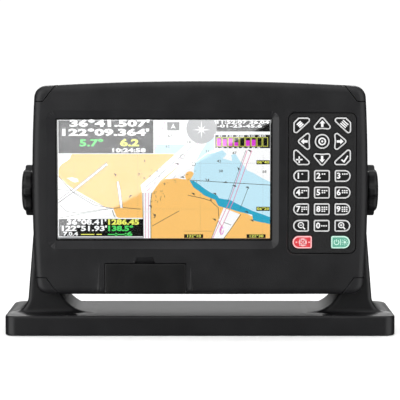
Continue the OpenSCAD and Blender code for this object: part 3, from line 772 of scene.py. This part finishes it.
def arrow_mark(k=1.0):
    return np.array([[0, 2.6], [-2.1, 0.3], [-0.85, 0.3], [-0.85, -2.3], [0.85, -2.3], [0.85, 0.3], [2.1, 0.3]]) * k


def ring_band(q, x, z, r, w, y, t, M, a0=0.0, a1=2 * math.pi, n=32):
    full = abs(a1 - a0) > 6.28
    if full:
        q.lathe([(r - w / 2, y - t), (r - w / 2, y), (r + w / 2, y), (r + w / 2, y - t)], (x, 0, z), "y", M, n)
    else:
        t_ = np.linspace(a0, a1, n)
        q.prism(ribbon(np.stack([x + r * np.cos(t_), z + r * np.sin(t_)], 1), w), y - t, y, M)


def legend(q, name, x, z, y, M):
    t = 0.10

    def pr(P):
        q.prism(np.asarray(P, float) + [x, z], y - t, y + 0.05, M)

    def txt(s, dx, dz, h, sq=1.0, bold=0.02):
        q.text(s, x + dx, z + dz, h, y + 0.04, t + 0.04, M, sq, bold=bold)

    if name[4:].isdigit():
        dx = {"left": 0.4, "right": -0.4}.get(KEYS[name][2], 0)
        if name == "key_0":
            txt("0", -2.6, 0, 4.1, 1.05, 0.03)
            for i in range(4):
                pr(rrect(-0.4 + i * 1.15, -0.5, 0.35 + i * 1.15, 0.5, 0.2))
        else:
            txt(name[4:], -2.5 + dx, 0, 4.1, 1.05, 0.03)
            # small generic dots group beside the digit, as a tally of the key's number
            k = int(name[4:])
            for i in range(k):
                cx, cz = -0.1 + (i % 3) * 1.55 + dx, 1.45 - (i // 3) * 1.45
                pr(rrect(cx - 0.1, cz - 0.45, cx + 1.0, cz + 0.45, 0.25))
    elif name in ("key_up", "key_down", "key_left", "key_right"):
        a = {"key_up": 0, "key_down": 180, "key_left": 90, "key_right": -90}[name]
        pr(ccw(turn(arrow_mark() + [0, -0.1], a)))
    elif name == "key_centre":
        ring_band(q, x, z, 2.3, 1.0, y + 0.05, 0.15, M)
        pr(circle(0, 0, 0.75, 20))
    elif name == "key_top_left":  # three stacked pages
        for i in range(3):
            c = turn(rrect(-1.9, -0.55, 1.9, 0.55, 0.25), 42) + np.array([-1.5 + 0.95 * i - 0.5, 1.6 - 0.95 * i + 0.3 - 0.4])
            pr(ccw(c))
    elif name == "key_top_right":  # list
        for i in range(3):
            c = turn(rrect(-2.6, -0.42, 2.6, 0.42, 0.25), -42) + np.array([1.9 - 0.95 * i, 1.9 - 1.05 * i])
            pr(ccw(c))
    elif name == "key_bottom_left":  # cross
        for a in (0, 90):
            pr(ccw(turn(rrect(-2.4, -0.5, 2.4, 0.5, 0.3), a) + np.array([-1.6, -1.4])))
    elif name == "key_bottom_right":  # tick
        pr(ccw(ribbon([[-1.0, -1.4], [0.9, -3.0], [3.6, 1.4]], 1.0)))
    elif name in ("key_zoom_out", "key_zoom_in"):
        dx = 0.4 if name == "key_zoom_out" else -0.4
        ring_band(q, x + dx - 0.5, z + 0.5, 1.9, 0.7, y + 0.05, 0.15, M)
        pr(ccw(ribbon([[dx + 0.85, -0.85], [dx + 2.5, -2.5]], 0.95)))
        pr(rrect(dx - 1.4, 0.22, dx + 0.4, 0.78, 0.1))
        if name == "key_zoom_in":
            pr(rrect(dx - 0.78, -0.4, dx - 0.22, 0.2, 0.1))
            pr(rrect(dx - 0.78, 0.8, dx - 0.22, 1.4, 0.1))
    elif name == "key_red":  # life ring
        ring_band(q, x + 0.4, z, 2.35, 1.2, y + 0.05, 0.15, M)
        for a in (45, 135):
            pr(ccw(turn(rrect(-3.4, -0.3, 3.4, 0.3, 0.15), a) + np.array([0.4, 0])))
        for s in (-4.6, 4.6):
            pr(rrect(0.4 + s - 0.6, -0.5, 0.4 + s + 0.6, 0.5, 0.2))
    elif name == "key_power":
        ring_band(q, x - 2.9, z, 1.75, 0.6, y + 0.05, 0.15, M, math.radians(125), math.radians(415))
        pr(rrect(-3.2, 0.3, -2.6, 2.2, 0.2))
        pr(rrect(-0.25, -2.3, 0.25, 2.3, 0.2))
        pr(circle(3.1, 0, 0.95, 20))
        for i in range(8):
            a = i * 45
            pr(ccw(turn(rrect(1.5, -0.22, 2.35, 0.22, 0.1), a) + np.array([3.1, 0])))


for name, (kx, kz, kind) in KEYS.items():
    S = SH[kind] + np.array([kx, kz])
    rim_w = 1.0
    inner = offset(S, rim_w)

    def key_front(Q, S=S):
        d = -sd(S, Q)
        y = KY + roll(d, 0.45, 0.45)
        return y + 0.18 * np.clip((d - 1.0) / 0.22, 0, 1)

    mats = {"key_red": [M_red, M_redrim, M_redrim], "key_power": [M_green, M_greenrim, M_greenrim]}.get(name, [M_key, M_rim, M_leg])

    def key_paint(C, S=S):
        d = -sd(S, C)
        return np.where((d > 0.0) & (d < 1.0), 1, 0)

    p = Part()
    p.relief(S, key_front, lambda Q: np.full(len(Q), -34.9), rings=[offset(S, d) for d in (0.06, 0.18, 0.45, 1.0, 1.22)],
             grid=2.2, step=1.2, paint=key_paint)
    F = (SH[kind] * 1.13) + np.array([kx, kz])
    p.prism(F, -34.88, -34.15, 0)
    legend(p, name, kx, kz, KY + 0.18, 2)
    p.build(name + "_shell", mats, name + "_cap", [name])

# keypad plate
PLATE = rrect(64.0, 60.3, 112.9, 162.0, 4.7)
holes = [SH[k] * 1.06 + np.array([x, z]) for x, z, k in KEYS.values()]


def plate_front(Q):
    y = np.full(len(Q), -38.4) + roll(-sd(PLATE, Q), 0.5, 0.45)
    for h in holes:
        lo, hi = h.min(0) - 1, h.max(0) + 1
        k = np.all((Q > lo) & (Q < hi), axis=1)
        if k.any():
            s = sd(h, Q[k])
            y[k] += roll(np.abs(s), 0.35, 0.3) * (np.abs(s) < 0.35)
    return y


p = Part()
p.relief(PLATE, plate_front, lambda Q: np.full(len(Q), -35.0), holes=holes,
         rings=[offset(PLATE, 0.08), offset(PLATE, 0.25), offset(PLATE, 0.5)] + [offset(h, d) for h in holes for d in (-0.1, -0.35)],
         grid=2.5, step=1.2)
p.build("keypad_plate_shell", [M_plate], "head", ["keypad_plate"])

# ---------------------------------------------------------------- card door

DOOR = rounded([[-69, 31.25], [-10.4, 31.25], [-10.4, 52.75], [-69, 52.75]], [0.5, 0.5, 0.8, 0.8], 0.2)


def door_front(Q):
    d = -sd(DOOR, Q)
    y = face_y(Q[:, 0]) - 0.05 + roll(d, 0.7, 0.6)
    low = np.clip((32.5 - Q[:, 1]) / 1.25, 0, 1)
    y = y + 1.25 * (1 - np.sqrt(np.maximum(0, 1 - low * low)))
    return np.minimum(y, -37.6)


p = Part()
p.relief(DOOR, door_front, lambda Q: np.full(len(Q), -37.45), rings=[offset(DOOR, d) for d in (0.1, 0.3, 0.7)],
         opens=[np.array([[-68.2, z], [-11.2, z]]) for z in (32.1, 32.5)], grid=4, step=2)
p.prism(rrect(-55, 37.5, -24.4, 47.5, 1.5), -37.5, -36.26, 0)
p.build("card_door_shell", [M_door], "door", ["card_door"])

# hinge pin, kept inside the width of the pocket
p = Part()
k = np.linspace(0, 2 * math.pi, 20, endpoint=False)
ring = [(x, -38.7 + 0.6 * math.cos(a), 32.5 + 0.6 * math.sin(a)) for x in (-69.28, -10.12) for a in k]
p.add(ring, [(i, (i + 1) % 20, 20 + (i + 1) % 20, 20 + i) for i in range(20)] + [tuple(range(20))[::-1], tuple(range(20, 40))])
p.build("door_hinge_rod", [M_steel], "head", ["door_hinge_pin"])

# ---------------------------------------------------------------- the yoke bracket

PLAN = rounded([[-142.5, -40], [142.5, -40], [144.5, 40], [-144.5, 40]], [8, 8, 10, 10], 1.2)


def arc(cx, cz, r, a0, a1, n):
    t = np.radians(np.linspace(a0, a1, n))
    return [[cx + r * math.cos(a), cz + r * math.sin(a)] for a in t]


LEG_XZ = np.array([[70, 6]] + [[139.4, 6]] + arc(139.6, 26.9, 12.4, 270, 180, 14) + [[121.2, 104], [120.2, 125], [112, 125], [112, 88]]
                  + arc(80, 40.5, 26, 0, -90, 16))
LEG_XZ = ccw(LEG_XZ)
LEG_YZ = ccw(np.array([[-23.5, 6], [23.5, 6]] + arc(0, 104, 17, 3.2, 176.8, 40)))


def yoke_parts(x, y, z, plan, front, side):
    """Level set of the bracket from its three outlines."""
    r = np.where(z > 7.25, 1.3, 0.7)
    qx, qz = plan + r, np.abs(z - 7.25) - 7.25 + r
    base = np.sqrt(np.maximum(qx, 0) ** 2 + np.maximum(qz, 0) ** 2) + np.minimum(np.maximum(qx, qz), 0) - r
    leg = smax(front, side, 3.2)
    d = smin(base, leg, 3.0)
    d = np.maximum(d, -(z - 0.0))
    rr = np.sqrt(y * y + (z - 104) ** 2)
    ax = np.abs(x)
    pad = smax(rr - 15, np.maximum(113 - ax, ax - 122.4), 0.6)
    d = smin(d, pad, 1.2)
    d = smax(d, -smax(rr - 15.6, 121.6 - ax, 0.3), 0.3)
    d = smax(d, -(rr - 3.06), 0.3)
    hx, hy = np.abs(x) - 94, np.abs(y) - 33
    hr = np.sqrt(hx * hx + hy * hy)
    d = smax(d, -(hr - 2.75), 0.4)
    d = smax(d, -((hr - 5.0) + np.maximum(14.5 - z, 0)) * 0.7071, 0.3)
    return d


def yoke(P):
    x, y, z = P[:, 0], P[:, 1], P[:, 2]
    ax = np.abs(x)
    return yoke_parts(x, y, z, sd(PLAN, np.stack([x, y], 1)), sd(LEG_XZ, np.stack([ax, z], 1)), sd(LEG_YZ, np.stack([y, z], 1)))


def yoke_grid(ax, ay, az):
    def two(P, a, b):
        A, B_ = np.meshgrid(a, b, indexing="ij")
        return sd(P, np.stack([A.ravel(), B_.ravel()], 1)).reshape(A.shape)
    plan = two(PLAN, ax, ay)[:, :, None]
    front = two(LEG_XZ, np.abs(ax), az)[:, None, :]
    side = two(LEG_YZ, ay, az)[None, :, :]
    return yoke_parts(ax[:, None, None], ay[None, :, None], az[None, None, :], plan, front, side)


h = 1.05
P, F = nets(yoke, yoke_grid, (-146.3, -43.3, -2.3), (146.3, 43.3, 125.3), h)
p = Part()
p.add(P, F, 0)
p.build("bracket_shell", [M_yoke], "bracket", ["yoke_bracket"], angle=60)

# ---------------------------------------------------------------- clamp knobs


def knob_f(P, s):
    t = (P[:, 0] * s) - 121.6
    y, z = P[:, 1], P[:, 2] - 104
    r = np.sqrt(y * y + z * z)
    lob = r - 19.0
    for i in range(8):
        a = math.radians(45 * i + 22.5)
        c = np.sqrt((y - 22.2 * math.cos(a)) ** 2 + (z - 22.2 * math.sin(a)) ** 2) - 6
        lob = smax(lob, -c, 1.2)

    def disc(rad, t0, t1, e):
        q, w = rad + e, np.abs(t - (t0 + t1) / 2) - (t1 - t0) / 2 + e
        return np.sqrt(np.maximum(q, 0) ** 2 + np.maximum(w, 0) ** 2) + np.minimum(np.maximum(q, w), 0) - e

    d = smin(disc(lob, 2.9, 9.2, 1.5), disc(r - 15.2, 4.4, 10.7, 1.2), 1.2)
    d = smin(d, disc(r - 11, 1.4, 5.0, 0.4), 0.8)
    # shallow dish with a small boss on the face
    dish = smax(disc(r - 12.2, 9.95, 12.6, 0.4), -(r - 6.6), 0.6)
    d = smax(d, -dish, 0.6)
    return smax(d, -disc(r - 3.0, -1.0, 9.4, 0.1), 0.1)


for side, s in (("left", -1), ("right", 1)):
    def fld(P, s=s):
        return knob_f(P, s)

    def gfld(ax, ay, az, s=s):
        X, Y, Z = np.meshgrid(ax, ay, az, indexing="ij")
        return knob_f(np.stack([X.ravel(), Y.ravel(), Z.ravel()], 1), s).reshape(X.shape)

    x0, x1 = (121.0, 134.0) if s > 0 else (-134.0, -121.0)
    P, F = nets(fld, gfld, (x0, -20.6, 83.4), (x1, 20.6, 124.6), 0.5)
    p = Part()
    p.add(P, F, 0)
    p.build(side + "_knob_shell", [M_knob], side + "_clamp_knob", [side + "_knob"], angle=60)

# ---------------------------------------------------------------- the lit screen


def scr(pts):
    """Screen drawing coordinates (0..1470 across, 0..814 down) to x, z."""
    P = np.asarray(pts, float)
    return np.stack([LX - LW / 2 + P[:, 0] / 1470 * LW, LZ + LH / 2 - P[:, 1] / 814 * LH], 1)


def scr_len(v):
    return v / 1470 * LW


E = 1.12
lit = {
    "white": rgb("fdfdfd"), "land": rgb("fbc470"), "sea": rgb("c3e8f6"), "shoal": rgb("2ba6c6"), "black": rgb("060606"),
    "grey": rgb("7b7b7b"), "magenta": rgb("dc3ad4"), "pink": rgb("dc7aa6"), "yellow": rgb("eef06a"), "green": rgb("4fd866"),
    "line": rgb("454540"), "pale": rgb("ededed"), "mist": rgb("a6a6a8"),
}
LIT = {}
for k, c in lit.items():
    LIT[k] = mat("screen_" + k, c, 0.5, var=0.03, scale=900, emit=E, spec=0.0)
    bs = LIT[k].node_tree.nodes["Principled BSDF"]
    for l in list(LIT[k].node_tree.links):
        if l.to_socket == bs.inputs["Base Color"]:
            LIT[k].node_tree.links.remove(l)
    bs.inputs["Base Color"].default_value = (0.01, 0.01, 0.01, 1)
LN = list(LIT)
shapes = []


def S(kind, pts):
    shapes.append((LN.index(kind), scr(pts)))


def box(kind, x0, y0, x1, y1):
    S(kind, [[x0, y1], [x1, y1], [x1, y0], [x0, y0]])


def line(kind, pts, w):
    P = ribbon(scr(pts), scr_len(w * (1.5 if w < 4 else 1)))
    shapes.append((LN.index(kind), P))


def dash(kind, a, b, w, on, off):
    a, b = np.array(a, float), np.array(b, float)
    L = np.linalg.norm(b - a)
    u = (b - a) / L
    t = 0.0
    while t < L:
        line(kind, [a + u * t, a + u * min(L, t + on)], w)
        t += on + off


def wig(pts, amp, seed, n=5):
    rng = np.random.default_rng(seed)
    P = np.asarray(pts, float)
    out = []
    for a, b in zip(P[:-1], P[1:]):
        m = max(2, int(np.linalg.norm(b - a) / 40))
        for i in range(m):
            q = a + (b - a) * i / m
            out.append(q + (rng.uniform(-amp, amp, 2) if i else 0))
    out.append(P[-1])
    return out


# land, water and coast
coast_w = wig([[100, 232], [86, 262], [30, 300], [4, 340], [4, 392], [60, 440], [118, 478]], 6, 3)
S("land", coast_w + [[330, 600], [382, 606], [404, 664], [420, 672], [590, 672], [640, 672], [640, 520], [700, 440], [905, 255], [790, 232]])
S("white", [[108, 478], [126, 500], [250, 570], [330, 604], [200, 636], [120, 600], [20, 570], [4, 520], [4, 480]])
S("white", wig([[60, 398], [96, 392], [138, 404], [142, 424], [120, 428], [90, 416], [60, 398]], 2, 5))
S("land", wig([[738, 404], [820, 398], [905, 408], [930, 430], [960, 470], [1020, 508], [1096, 540], [1108, 566], [1150, 590], [1270, 630],
               [1350, 664], [1352, 690], [1470, 715]], 3, 8) + [[1470, 814], [640, 814], [640, 520], [690, 448]])
shapes.append((LN.index("land"), scr(circle(914, 384, 33, 28))))
S("sea", wig([[940, 372], [952, 292], [1036, 232], [1140, 206], [1166, 232], [1140, 262], [1206, 280], [1200, 240], [1226, 228], [1252, 268],
              [1312, 346], [1470, 424]], 4, 11) + [[1470, 672], [1100, 530], [912, 418]])
S("sea", [[668, 168], [884, 168], [836, 230], [668, 230]])
S("sea", [[1052, 124], [1086, 116], [1086, 206], [1032, 222], [952, 288], [990, 216]])
S("shoal", wig([[912, 414], [940, 416], [1022, 476], [1102, 518], [1114, 536], [1192, 548], [1272, 590], [1352, 626], [1470, 668]], 2, 13)
  + wig([[1470, 716], [1352, 690], [1346, 650], [1272, 634], [1112, 590], [1090, 548], [1012, 516], [940, 462], [912, 414]], 2, 14))
# dredged channels
S("white", [[582, 500], [572, 446], [910, 146], [1080, 8], [1104, 8], [1104, 96], [712, 414], [652, 500], [644, 560], [642, 814], [592, 814]])
S("white", [[1148, 602], [1262, 648], [1152, 814], [1062, 814], [1112, 688]])
# west side: canals and tracks
line("white", [[340, 300], [120, 474], [0, 560]], 22)
for o in (-11, 11):
    line("line", [[340, 300 + o], [120, 474 + o], [0, 560 + o]], 2.2)
line("line", [[0, 476], [60, 482], [104, 480]], 2.2)
line("line", [[4, 384], [60, 450], [112, 504], [250, 585], [380, 606], [440, 600], [570, 612]], 2.6)
line("line", [[8, 582], [60, 628], [140, 640], [300, 614], [380, 606]], 2.2)
line("line", [[8, 562], [106, 494], [240, 560], [340, 604]], 2.2)
line("line", [[10, 672], [380, 606]], 2.2)
S("white", [[406, 424], [420, 418], [432, 470], [448, 604], [430, 604], [412, 470]])
line("line", [[406, 424], [412, 470], [430, 604]], 2)
line("line", [[420, 418], [432, 470], [448, 604]], 2)
line("line", [[376, 620], [384, 650], [396, 668]], 3)
line("line", [[588, 500], [590, 814]], 3)
line("line", [[650, 500], [642, 560], [643, 814]], 3)
line("line", [[650, 730], [840, 624]], 2.4)
# channel lines
for o in (0, 14, 40):
    line("pink" if o else "line", [[596 + o * 0.5, 470 + o * 0.4], [940 + o, 170 + o * 0.2], [1096, 30 + o * 0.9]], 1.8)
for x in (606, 628):
    line("pink", [[x, 500], [x - 2, 814]], 2.4)
box("pale", 592, 626, 640, 634)
line("pink", [[1310, 208], [1188, 560], [1072, 814]], 3)
line("pink", [[1342, 208], [1214, 560], [1120, 770]], 3)
line("line", [[1300, 208], [1176, 560]], 1.6)
line("line", [[1268, 648], [1190, 760], [1150, 814]], 2.6)
line("line", [[1112, 690], [1064, 814]], 2.2)
line("line", [[1150, 704], [1200, 722]], 2.2)
line("line", [[914, 412], [1200, 430], [1470, 446]], 2.6)
line("line", [[1318, 466], [1264, 606]], 2.2)
line("line", wig([[900, 516], [960, 528], [1060, 556], [1110, 600], [1116, 680]], 3, 21), 2.6)
line("pink", [[668, 208], [744, 6]], 2)
line("pink", [[960, 150], [1104, 60]], 1.6)
dash("line", [940, 296], [1470, 296], 1.6, 4, 9)
dash("line", [0, 610], [1470, 612], 1.4, 4, 11)
for x in (108, 552, 986, 1420):
    dash("line", [x, 240], [x, 800], 1.4, 4, 11)
dash("line", [874, 764], [1080, 764], 2.2, 5, 6)
# wrecks, buoys and small marks
rng = np.random.default_rng(7)
for (x, y, a) in [(396, 374, 60), (500, 524, -40), (640, 592, 45), (936, 506, 40), (1086, 506, 30), (1250, 334, 70), (1326, 210, 40), (1222, 452, 20),
                  (1312, 462, 20), (1160, 428, 0), (1084, 684, 35), (1306, 632, 20), (1344, 690, 30), (668, 652, 50), (560, 700, 10), (826, 300, 20), (862, 392, 10)]:
    c, s_ = math.cos(math.radians(a)), math.sin(math.radians(a))
    R = np.array([[c, s_], [-s_, c]])
    S("line", (np.array([[-16, 3], [16, 3], [4, -9], [-6, -3]]) @ R + [x, y])[::-1])
for (x, y, r) in [(640, 386, 6), (702, 384, 5), (598, 398, 5), (560, 374, 6), (688, 350, 5), (940, 300, 13), (862, 250, 15)]:
    k = np.radians(np.linspace(0, 360, 13))
    line("line", np.stack([x + r * np.cos(k), y + r * np.sin(k)], 1), 2)
for i in range(26):
    x, y = rng.uniform(560, 960), rng.uniform(330, 440)
    line("line", [[x, y], [x + rng.uniform(-16, 16), y + rng.uniform(-14, 14)]], 1.8)
for i in range(14):
    x, y = rng.uniform(640, 740), rng.uniform(470, 560)
    line("line", [[x, y], [x + rng.uniform(-12, 12), y + rng.uniform(-20, 20)]], 1.8)
k = np.radians(np.linspace(0, 330, 14))
line("magenta", np.stack([1134 + 12 * np.cos(k), 760 + 26 * np.sin(k)], 1), 3)
line("pink", [[1110, 690], [1134, 730], [1128, 790]], 3)
# compass card and heading box
S("grey", [[757 + 10 * 0, 70], [842, 70], [842, 13], [757, 13]])
S("white", [[799, 22], [782, 58], [799, 50], [816, 58]])
shapes.append((LN.index("mist"), scr(circle(994, 58, 104, 48))))
shapes[-1] = (LN.index("mist"), np.array([q for q in clip(shapes[-1][1], [[LX - LW / 2 + .1, LZ - LH / 2 + .1], [LX + LW / 2 - .1, LZ - LH / 2 + .1], [LX + LW / 2 - .1, LZ + LH / 2 - .1], [LX - LW / 2 + .1, LZ + LH / 2 - .1]])]))
for a in range(0, 360, 45):
    c, s_ = math.cos(math.radians(a)), math.sin(math.radians(a))
    L_ = 62 if a % 90 == 0 else 40
    Q = np.array([[0, -7], [L_, 0], [0, 7]]) @ np.array([[c, s_], [-s_, c]]) + [994, 66]
    if Q[:, 1].min() > 2:
        S("pale", Q)
# data boxes
box("black", 4, 2, 662, 228)
box("black", 4, 680, 591, 800)
box("mist", 0, 803, 591, 814)
box("black", 1098, 4, 1468, 78)
box("white", 1082, 94, 1468, 200)
box("black", 1090, 100, 1468, 192)
for i, (h_, c_) in enumerate([(70, "magenta"), (62, "magenta"), (70, "magenta"), (34, "magenta"), (22, "black"), (52, "magenta"), (58, "magenta"), (20, "black"), (30, "black")]):
    x = 1098 + i * 40
    box("yellow", x, 118, x + 36, 180)
    box("black", x + 3, 121, x + 33, 177)
    if c_ != "black":
        box(c_, x + 3, 177 - h_ * 0.75, x + 30, 177)
for x, y in ((1375, 275), (1375, 596)):
    box("black", x, y, x + 92, y + 28)
for x in (874, 1308):
    box("black", x, 786, x + 132, 812)
WHOLE = rrect(LX - 79.2, LZ - 46.0, LX + 79.2, LZ + 46.0, 0.8)
ACT = ccw(np.array([[LX - LW / 2, LZ - LH / 2], [LX + LW / 2, LZ - LH / 2], [LX + LW / 2, LZ + LH / 2], [LX - LW / 2, LZ + LH / 2]]))
shapes = [(k, clip(ccw(s_), list(offset(ACT, 0.03)))) for k, s_ in shapes]
shapes = [(k, s_) for k, s_ in shapes if len(s_) > 2]


def screen_paint(C):
    m = np.full(len(C), LN.index("white"))
    m[sd(ACT, C) > 0] = LN.index("black")
    for k, s_ in shapes:
        lo, hi = s_.min(0), s_.max(0)
        near = np.nonzero(np.all((C > lo) & (C < hi), axis=1))[0]
        if len(near):
            m[near[sd(s_, C[near]) < 0]] = k
    return m


p = Part()
p.relief(WHOLE, lambda Q: np.full(len(Q), -34.6), lambda Q: np.full(len(Q), -30.2), rings=[ACT] + [s_ for k, s_ in shapes], grid=0, step=40,
         paint=screen_paint, side=LN.index("black"))
T_ = 0.03


def dtext(s, x, y, h, kind, sq=1.0, align="CENTER", bold=0.015, rot=0.0):
    q = scr([[x, y]])[0]
    p.text(s, q[0], q[1], h / 814 * LH, -34.6, T_, LN.index(kind), sq, align, bold, rot)


def dfit(s, x0, x1, y, h, kind, bold=0.04):
    q = scr([[(x0 + x1) / 2, y]])[0]
    p.text(s, q[0], q[1], h / 814 * LH, -34.6, T_, LN.index(kind), 1.0, "CENTER", bold, 0.0, scr_len(x1 - x0))


dfit("36°41.507'", 82, 636, 24, 43, "white", 0.045)
dfit("122°09.364'", 30, 632, 86, 44, "white", 0.045)
dfit("5.7°", 150, 316, 158, 46, "green", 0.04)
dfit("6.2", 430, 563, 157, 46, "yellow", 0.045)
dfit("10:24:58", 377, 609, 208, 26, "white", 0.04)
dfit("36°08.41'", 60, 334, 703, 34, "white")
dfit("122°51.93'", 24, 338, 747, 34, "white")
dfit("1286.45", 346, 562, 703, 35, "yellow", 0.045)
dfit("138.5°", 346, 520, 747, 34, "green", 0.045)
dfit("7.0.4", 34, 137, 784, 25, "white")
dfit("----- --", 157, 302, 784, 26, "yellow")
dfit("--:--:6", 343, 515, 784, 28, "green")
dfit("11:52:07 36.04", 1102, 1462, 15, 20, "white", 0.03)
dfit("-01-23-45.6", 1102, 1412, 41, 20, "white", 0.03)
dfit("1 2 3 4 5 6 7 8 9", 1100, 1400, 189, 10, "white", 0.02)
dfit("0 10 20 30 40", 1110, 1440, 109, 12, "white", 0.02)
for x, y, s_ in ((1421, 289, "06°40"), (1421, 610, "06°20"), (940, 799, "122°10"), (1374, 799, "122°30")):
    dtext(s_, x, y, 18, "yellow", 1.35, "CENTER", 0.02)
for x, y, s_ in [(1116, 282, "42"), (1128, 350, "38"), (1036, 214, "51"), (776, 108, "67"), (760, 180, "62"), (1222, 226, "47"), (1430, 354, "68"),
                 (1034, 412, "24"), (738, 440, "9"), (906, 152, "18"), (600, 280, "3"), (1060, 546, "6"), (668, 664, "2")]:
    dtext(s_, x, y, 17, "line", 1.2)
p.build("lit_screen", [LIT[k] for k in LN], "head", ["lcd_panel"], angle=30)

# window pane
p = Part()
PANE = rrect(LX - 79.3, LZ - 45.1, LX + 79.3, LZ + 45.1, 1.6)
p.relief(PANE, lambda Q: np.full(len(Q), -36.38) + roll(-sd(PANE, Q), 0.25, 0.25), lambda Q: np.full(len(Q), -34.65),
         rings=[offset(PANE, 0.25)], grid=20, step=20)
window = p.build("window_pane", [M_glass], "head", ["lcd_window"])

# ---------------------------------------------------------------- finishes of the carried-over nodes

FIN = {
    "rear_housing": M_house, "case_gasket": M_rubber, "lcd_frame": M_zinc, "keypad_mat": M_grey, "keypad_board": M_board,
    "main_board": M_board, "board_standoffs": M_brass, "card_socket": M_zinc, "chart_card": M_card, "alarm_buzzer": M_part,
    "clock_battery": M_steel, "case_screws": M_steel, "pivot_inserts": M_brass, "friction_washers": M_rubber,
    "signal_connectors": M_conn, "antenna_connector": M_brass, "ground_stud": M_brass, "door_seal": M_grey, "left_stud": M_steel,
    "left_washer": M_steel, "right_stud": M_steel, "right_washer": M_steel,
}
for n, m in FIN.items():
    o = N[n]
    o.data.materials.clear()
    o.data.materials.append(m)
    w = o.modifiers.new("normals", "WEIGHTED_NORMAL")
    w.keep_sharp = True
b = N["rear_housing"].modifiers.new("edge", "BEVEL")
b.width, b.segments, b.limit_method, b.angle_limit = 0.6 * MM, 2, "ANGLE", math.radians(50)

# ---------------------------------------------------------------- studio


def plane(name, pts, m):
    me = bpy.data.meshes.new(name)
    me.from_pydata(pts, [], [tuple(range(len(pts)))])
    me.materials.append(m)
    o = bpy.data.objects.new(name, me)
    bpy.context.scene.collection.objects.link(o)
    return o


M_floor = mat("floor_paper", (0.99, 0.99, 0.99, 1), 0.6, var=0.01, scale=5, spec=0.2)
floor = plane("floor", [(-6, -4, -0.0002), (6, -4, -0.0002), (6, 8, -0.0002), (-6, 8, -0.0002)], M_floor)
floor.visible_glossy = floor.visible_transmission = False

sc = bpy.context.scene
w = bpy.data.worlds.new("studio")
w.use_nodes = True
bg = w.node_tree.nodes["Background"]
bg.inputs["Color"].default_value = (1, 1, 1, 1)
bg.inputs["Strength"].default_value = 1.08
sc.world = w
sc.view_settings.view_transform = "Standard"


def area_light(name, loc, target, size, power, size_y=None):
    l = bpy.data.lights.new(name, "AREA")
    l.energy, l.size = power, size
    if size_y:
        l.shape, l.size_y = "RECTANGLE", size_y
    o = bpy.data.objects.new(name, l)
    o.location = loc
    o.rotation_euler = (Vector(target) - Vector(loc)).to_track_quat("-Z", "Y").to_euler()
    sc.collection.objects.link(o)
    return o


area_light("top_soft", (0.0, -0.2, 1.5), (0, 0, 0.1), 1.2, 9, 0.9)
area_light("front_fill", (-0.6, -1.6, 0.9), (0, 0, 0.1), 0.9, 4)

# ring of black flags and soft panels that the glossy plastic mirrors
M_flag = mat("flag_cloth", (0.02, 0.02, 0.02, 1), 0.9, var=0.1, scale=40, spec=0.1)


def soft(name, strength):
    m = bpy.data.materials.new(name)
    m.use_nodes = True
    t = m.node_tree
    t.nodes.remove(t.nodes["Principled BSDF"])
    e = t.nodes.new("ShaderNodeEmission")
    e.inputs["Strength"].default_value = strength
    t.links.new(e.outputs["Emission"], t.nodes["Material Output"].inputs["Surface"])
    return m


def glossy_only(o):
    o.visible_camera = o.visible_diffuse = o.visible_shadow = o.visible_volume_scatter = False


def wall(name, a0, a1, z0, z1, m, r=1.5):
    """Upright panel between two azimuths, counted from -Y towards +X."""
    q = [(r * math.sin(math.radians(a)), -r * math.cos(math.radians(a))) for a in (a0, a1)]
    glossy_only(plane(name, [(*q[0], z0), (*q[0], z1), (*q[1], z1), (*q[1], z0)], m))


M_left, M_right, M_over = soft("panel_left", 1.5), soft("panel_right", 1.1), soft("panel_over", 0.4)
M_back = soft("panel_back", 3.2)
for i, (a0, a1, z1, m) in enumerate([(-26, 0, 1.4, M_flag), (0, 26, 1.4, M_flag), (26, 53, 1.4, M_right), (53, 80, 1.4, M_right),
                                     (80, 115, 1.4, M_flag), (115, 150, 1.4, M_flag), (150, 180, 0.5, M_flag), (180, 210, 0.5, M_flag),
                                     (210, 245, 1.4, M_flag), (245, 280, 1.4, M_flag), (-80, -53, 1.4, M_left), (-53, -26, 1.4, M_left)]):
    wall("wall_%d" % i, a0, a1, -1.2, z1, m)
for i, (a0, a1) in enumerate([(150, 180), (180, 210)]):
    wall("back_%d" % i, a0, a1, 0.5, 1.4, M_back)
glossy_only(plane("under", [(-1.6, -1.6, -1.2), (1.6, -1.6, -1.2), (1.6, 1.6, -1.2), (-1.6, 1.6, -1.2)], M_flag))
glossy_only(plane("over", [(-1.6, -1.6, 1.4), (-1.6, 1.6, 1.4), (1.6, 1.6, 1.4), (1.6, -1.6, 1.4)], M_over))

# small hard lamp on the window pane, with a flag that keeps it off the lower right half
CAM = Vector((0, -1.036, 0.1689))
lamp = bpy.data.lights.new("pane_lamp", "POINT")
lamp.energy, lamp.shadow_soft_size = 3500, 0.0005
lo = bpy.data.objects.new("pane_lamp", lamp)
lo.location = LAMP = Vector((-0.5, -1.2, 0.62))
sc.collection.objects.link(lo)
rc = bpy.data.collections.new("lit_by_lamp")
rc.objects.link(window)
lo.light_linking.receiver_collection = rc
A, B = Vector((-0.112, -0.0364, 0.0665)), Vector((0.062, -0.0364, 0.1615))
U = (B - A).normalized()
D = Vector((U.z, 0, -U.x))
flag = plane("lamp_flag", [tuple(LAMP + (q - LAMP) * 0.35) for q in (A - U * 0.06, A - U * 0.06 + D * 0.3, B + U * 0.06 + D * 0.3, B + U * 0.06)], M_flag)
flag.visible_camera = flag.visible_diffuse = flag.visible_glossy = flag.visible_transmission = flag.visible_volume_scatter = False

cam = bpy.data.cameras.new("camera")
cam.lens, cam.sensor_width, cam.sensor_fit = 124.2, 36.0, "AUTO"
co = bpy.data.objects.new("camera", cam)
co.location = CAM
co.rotation_euler = (math.radians(90 - 4.0), 0, 0)
sc.collection.objects.link(co)
sc.camera = co
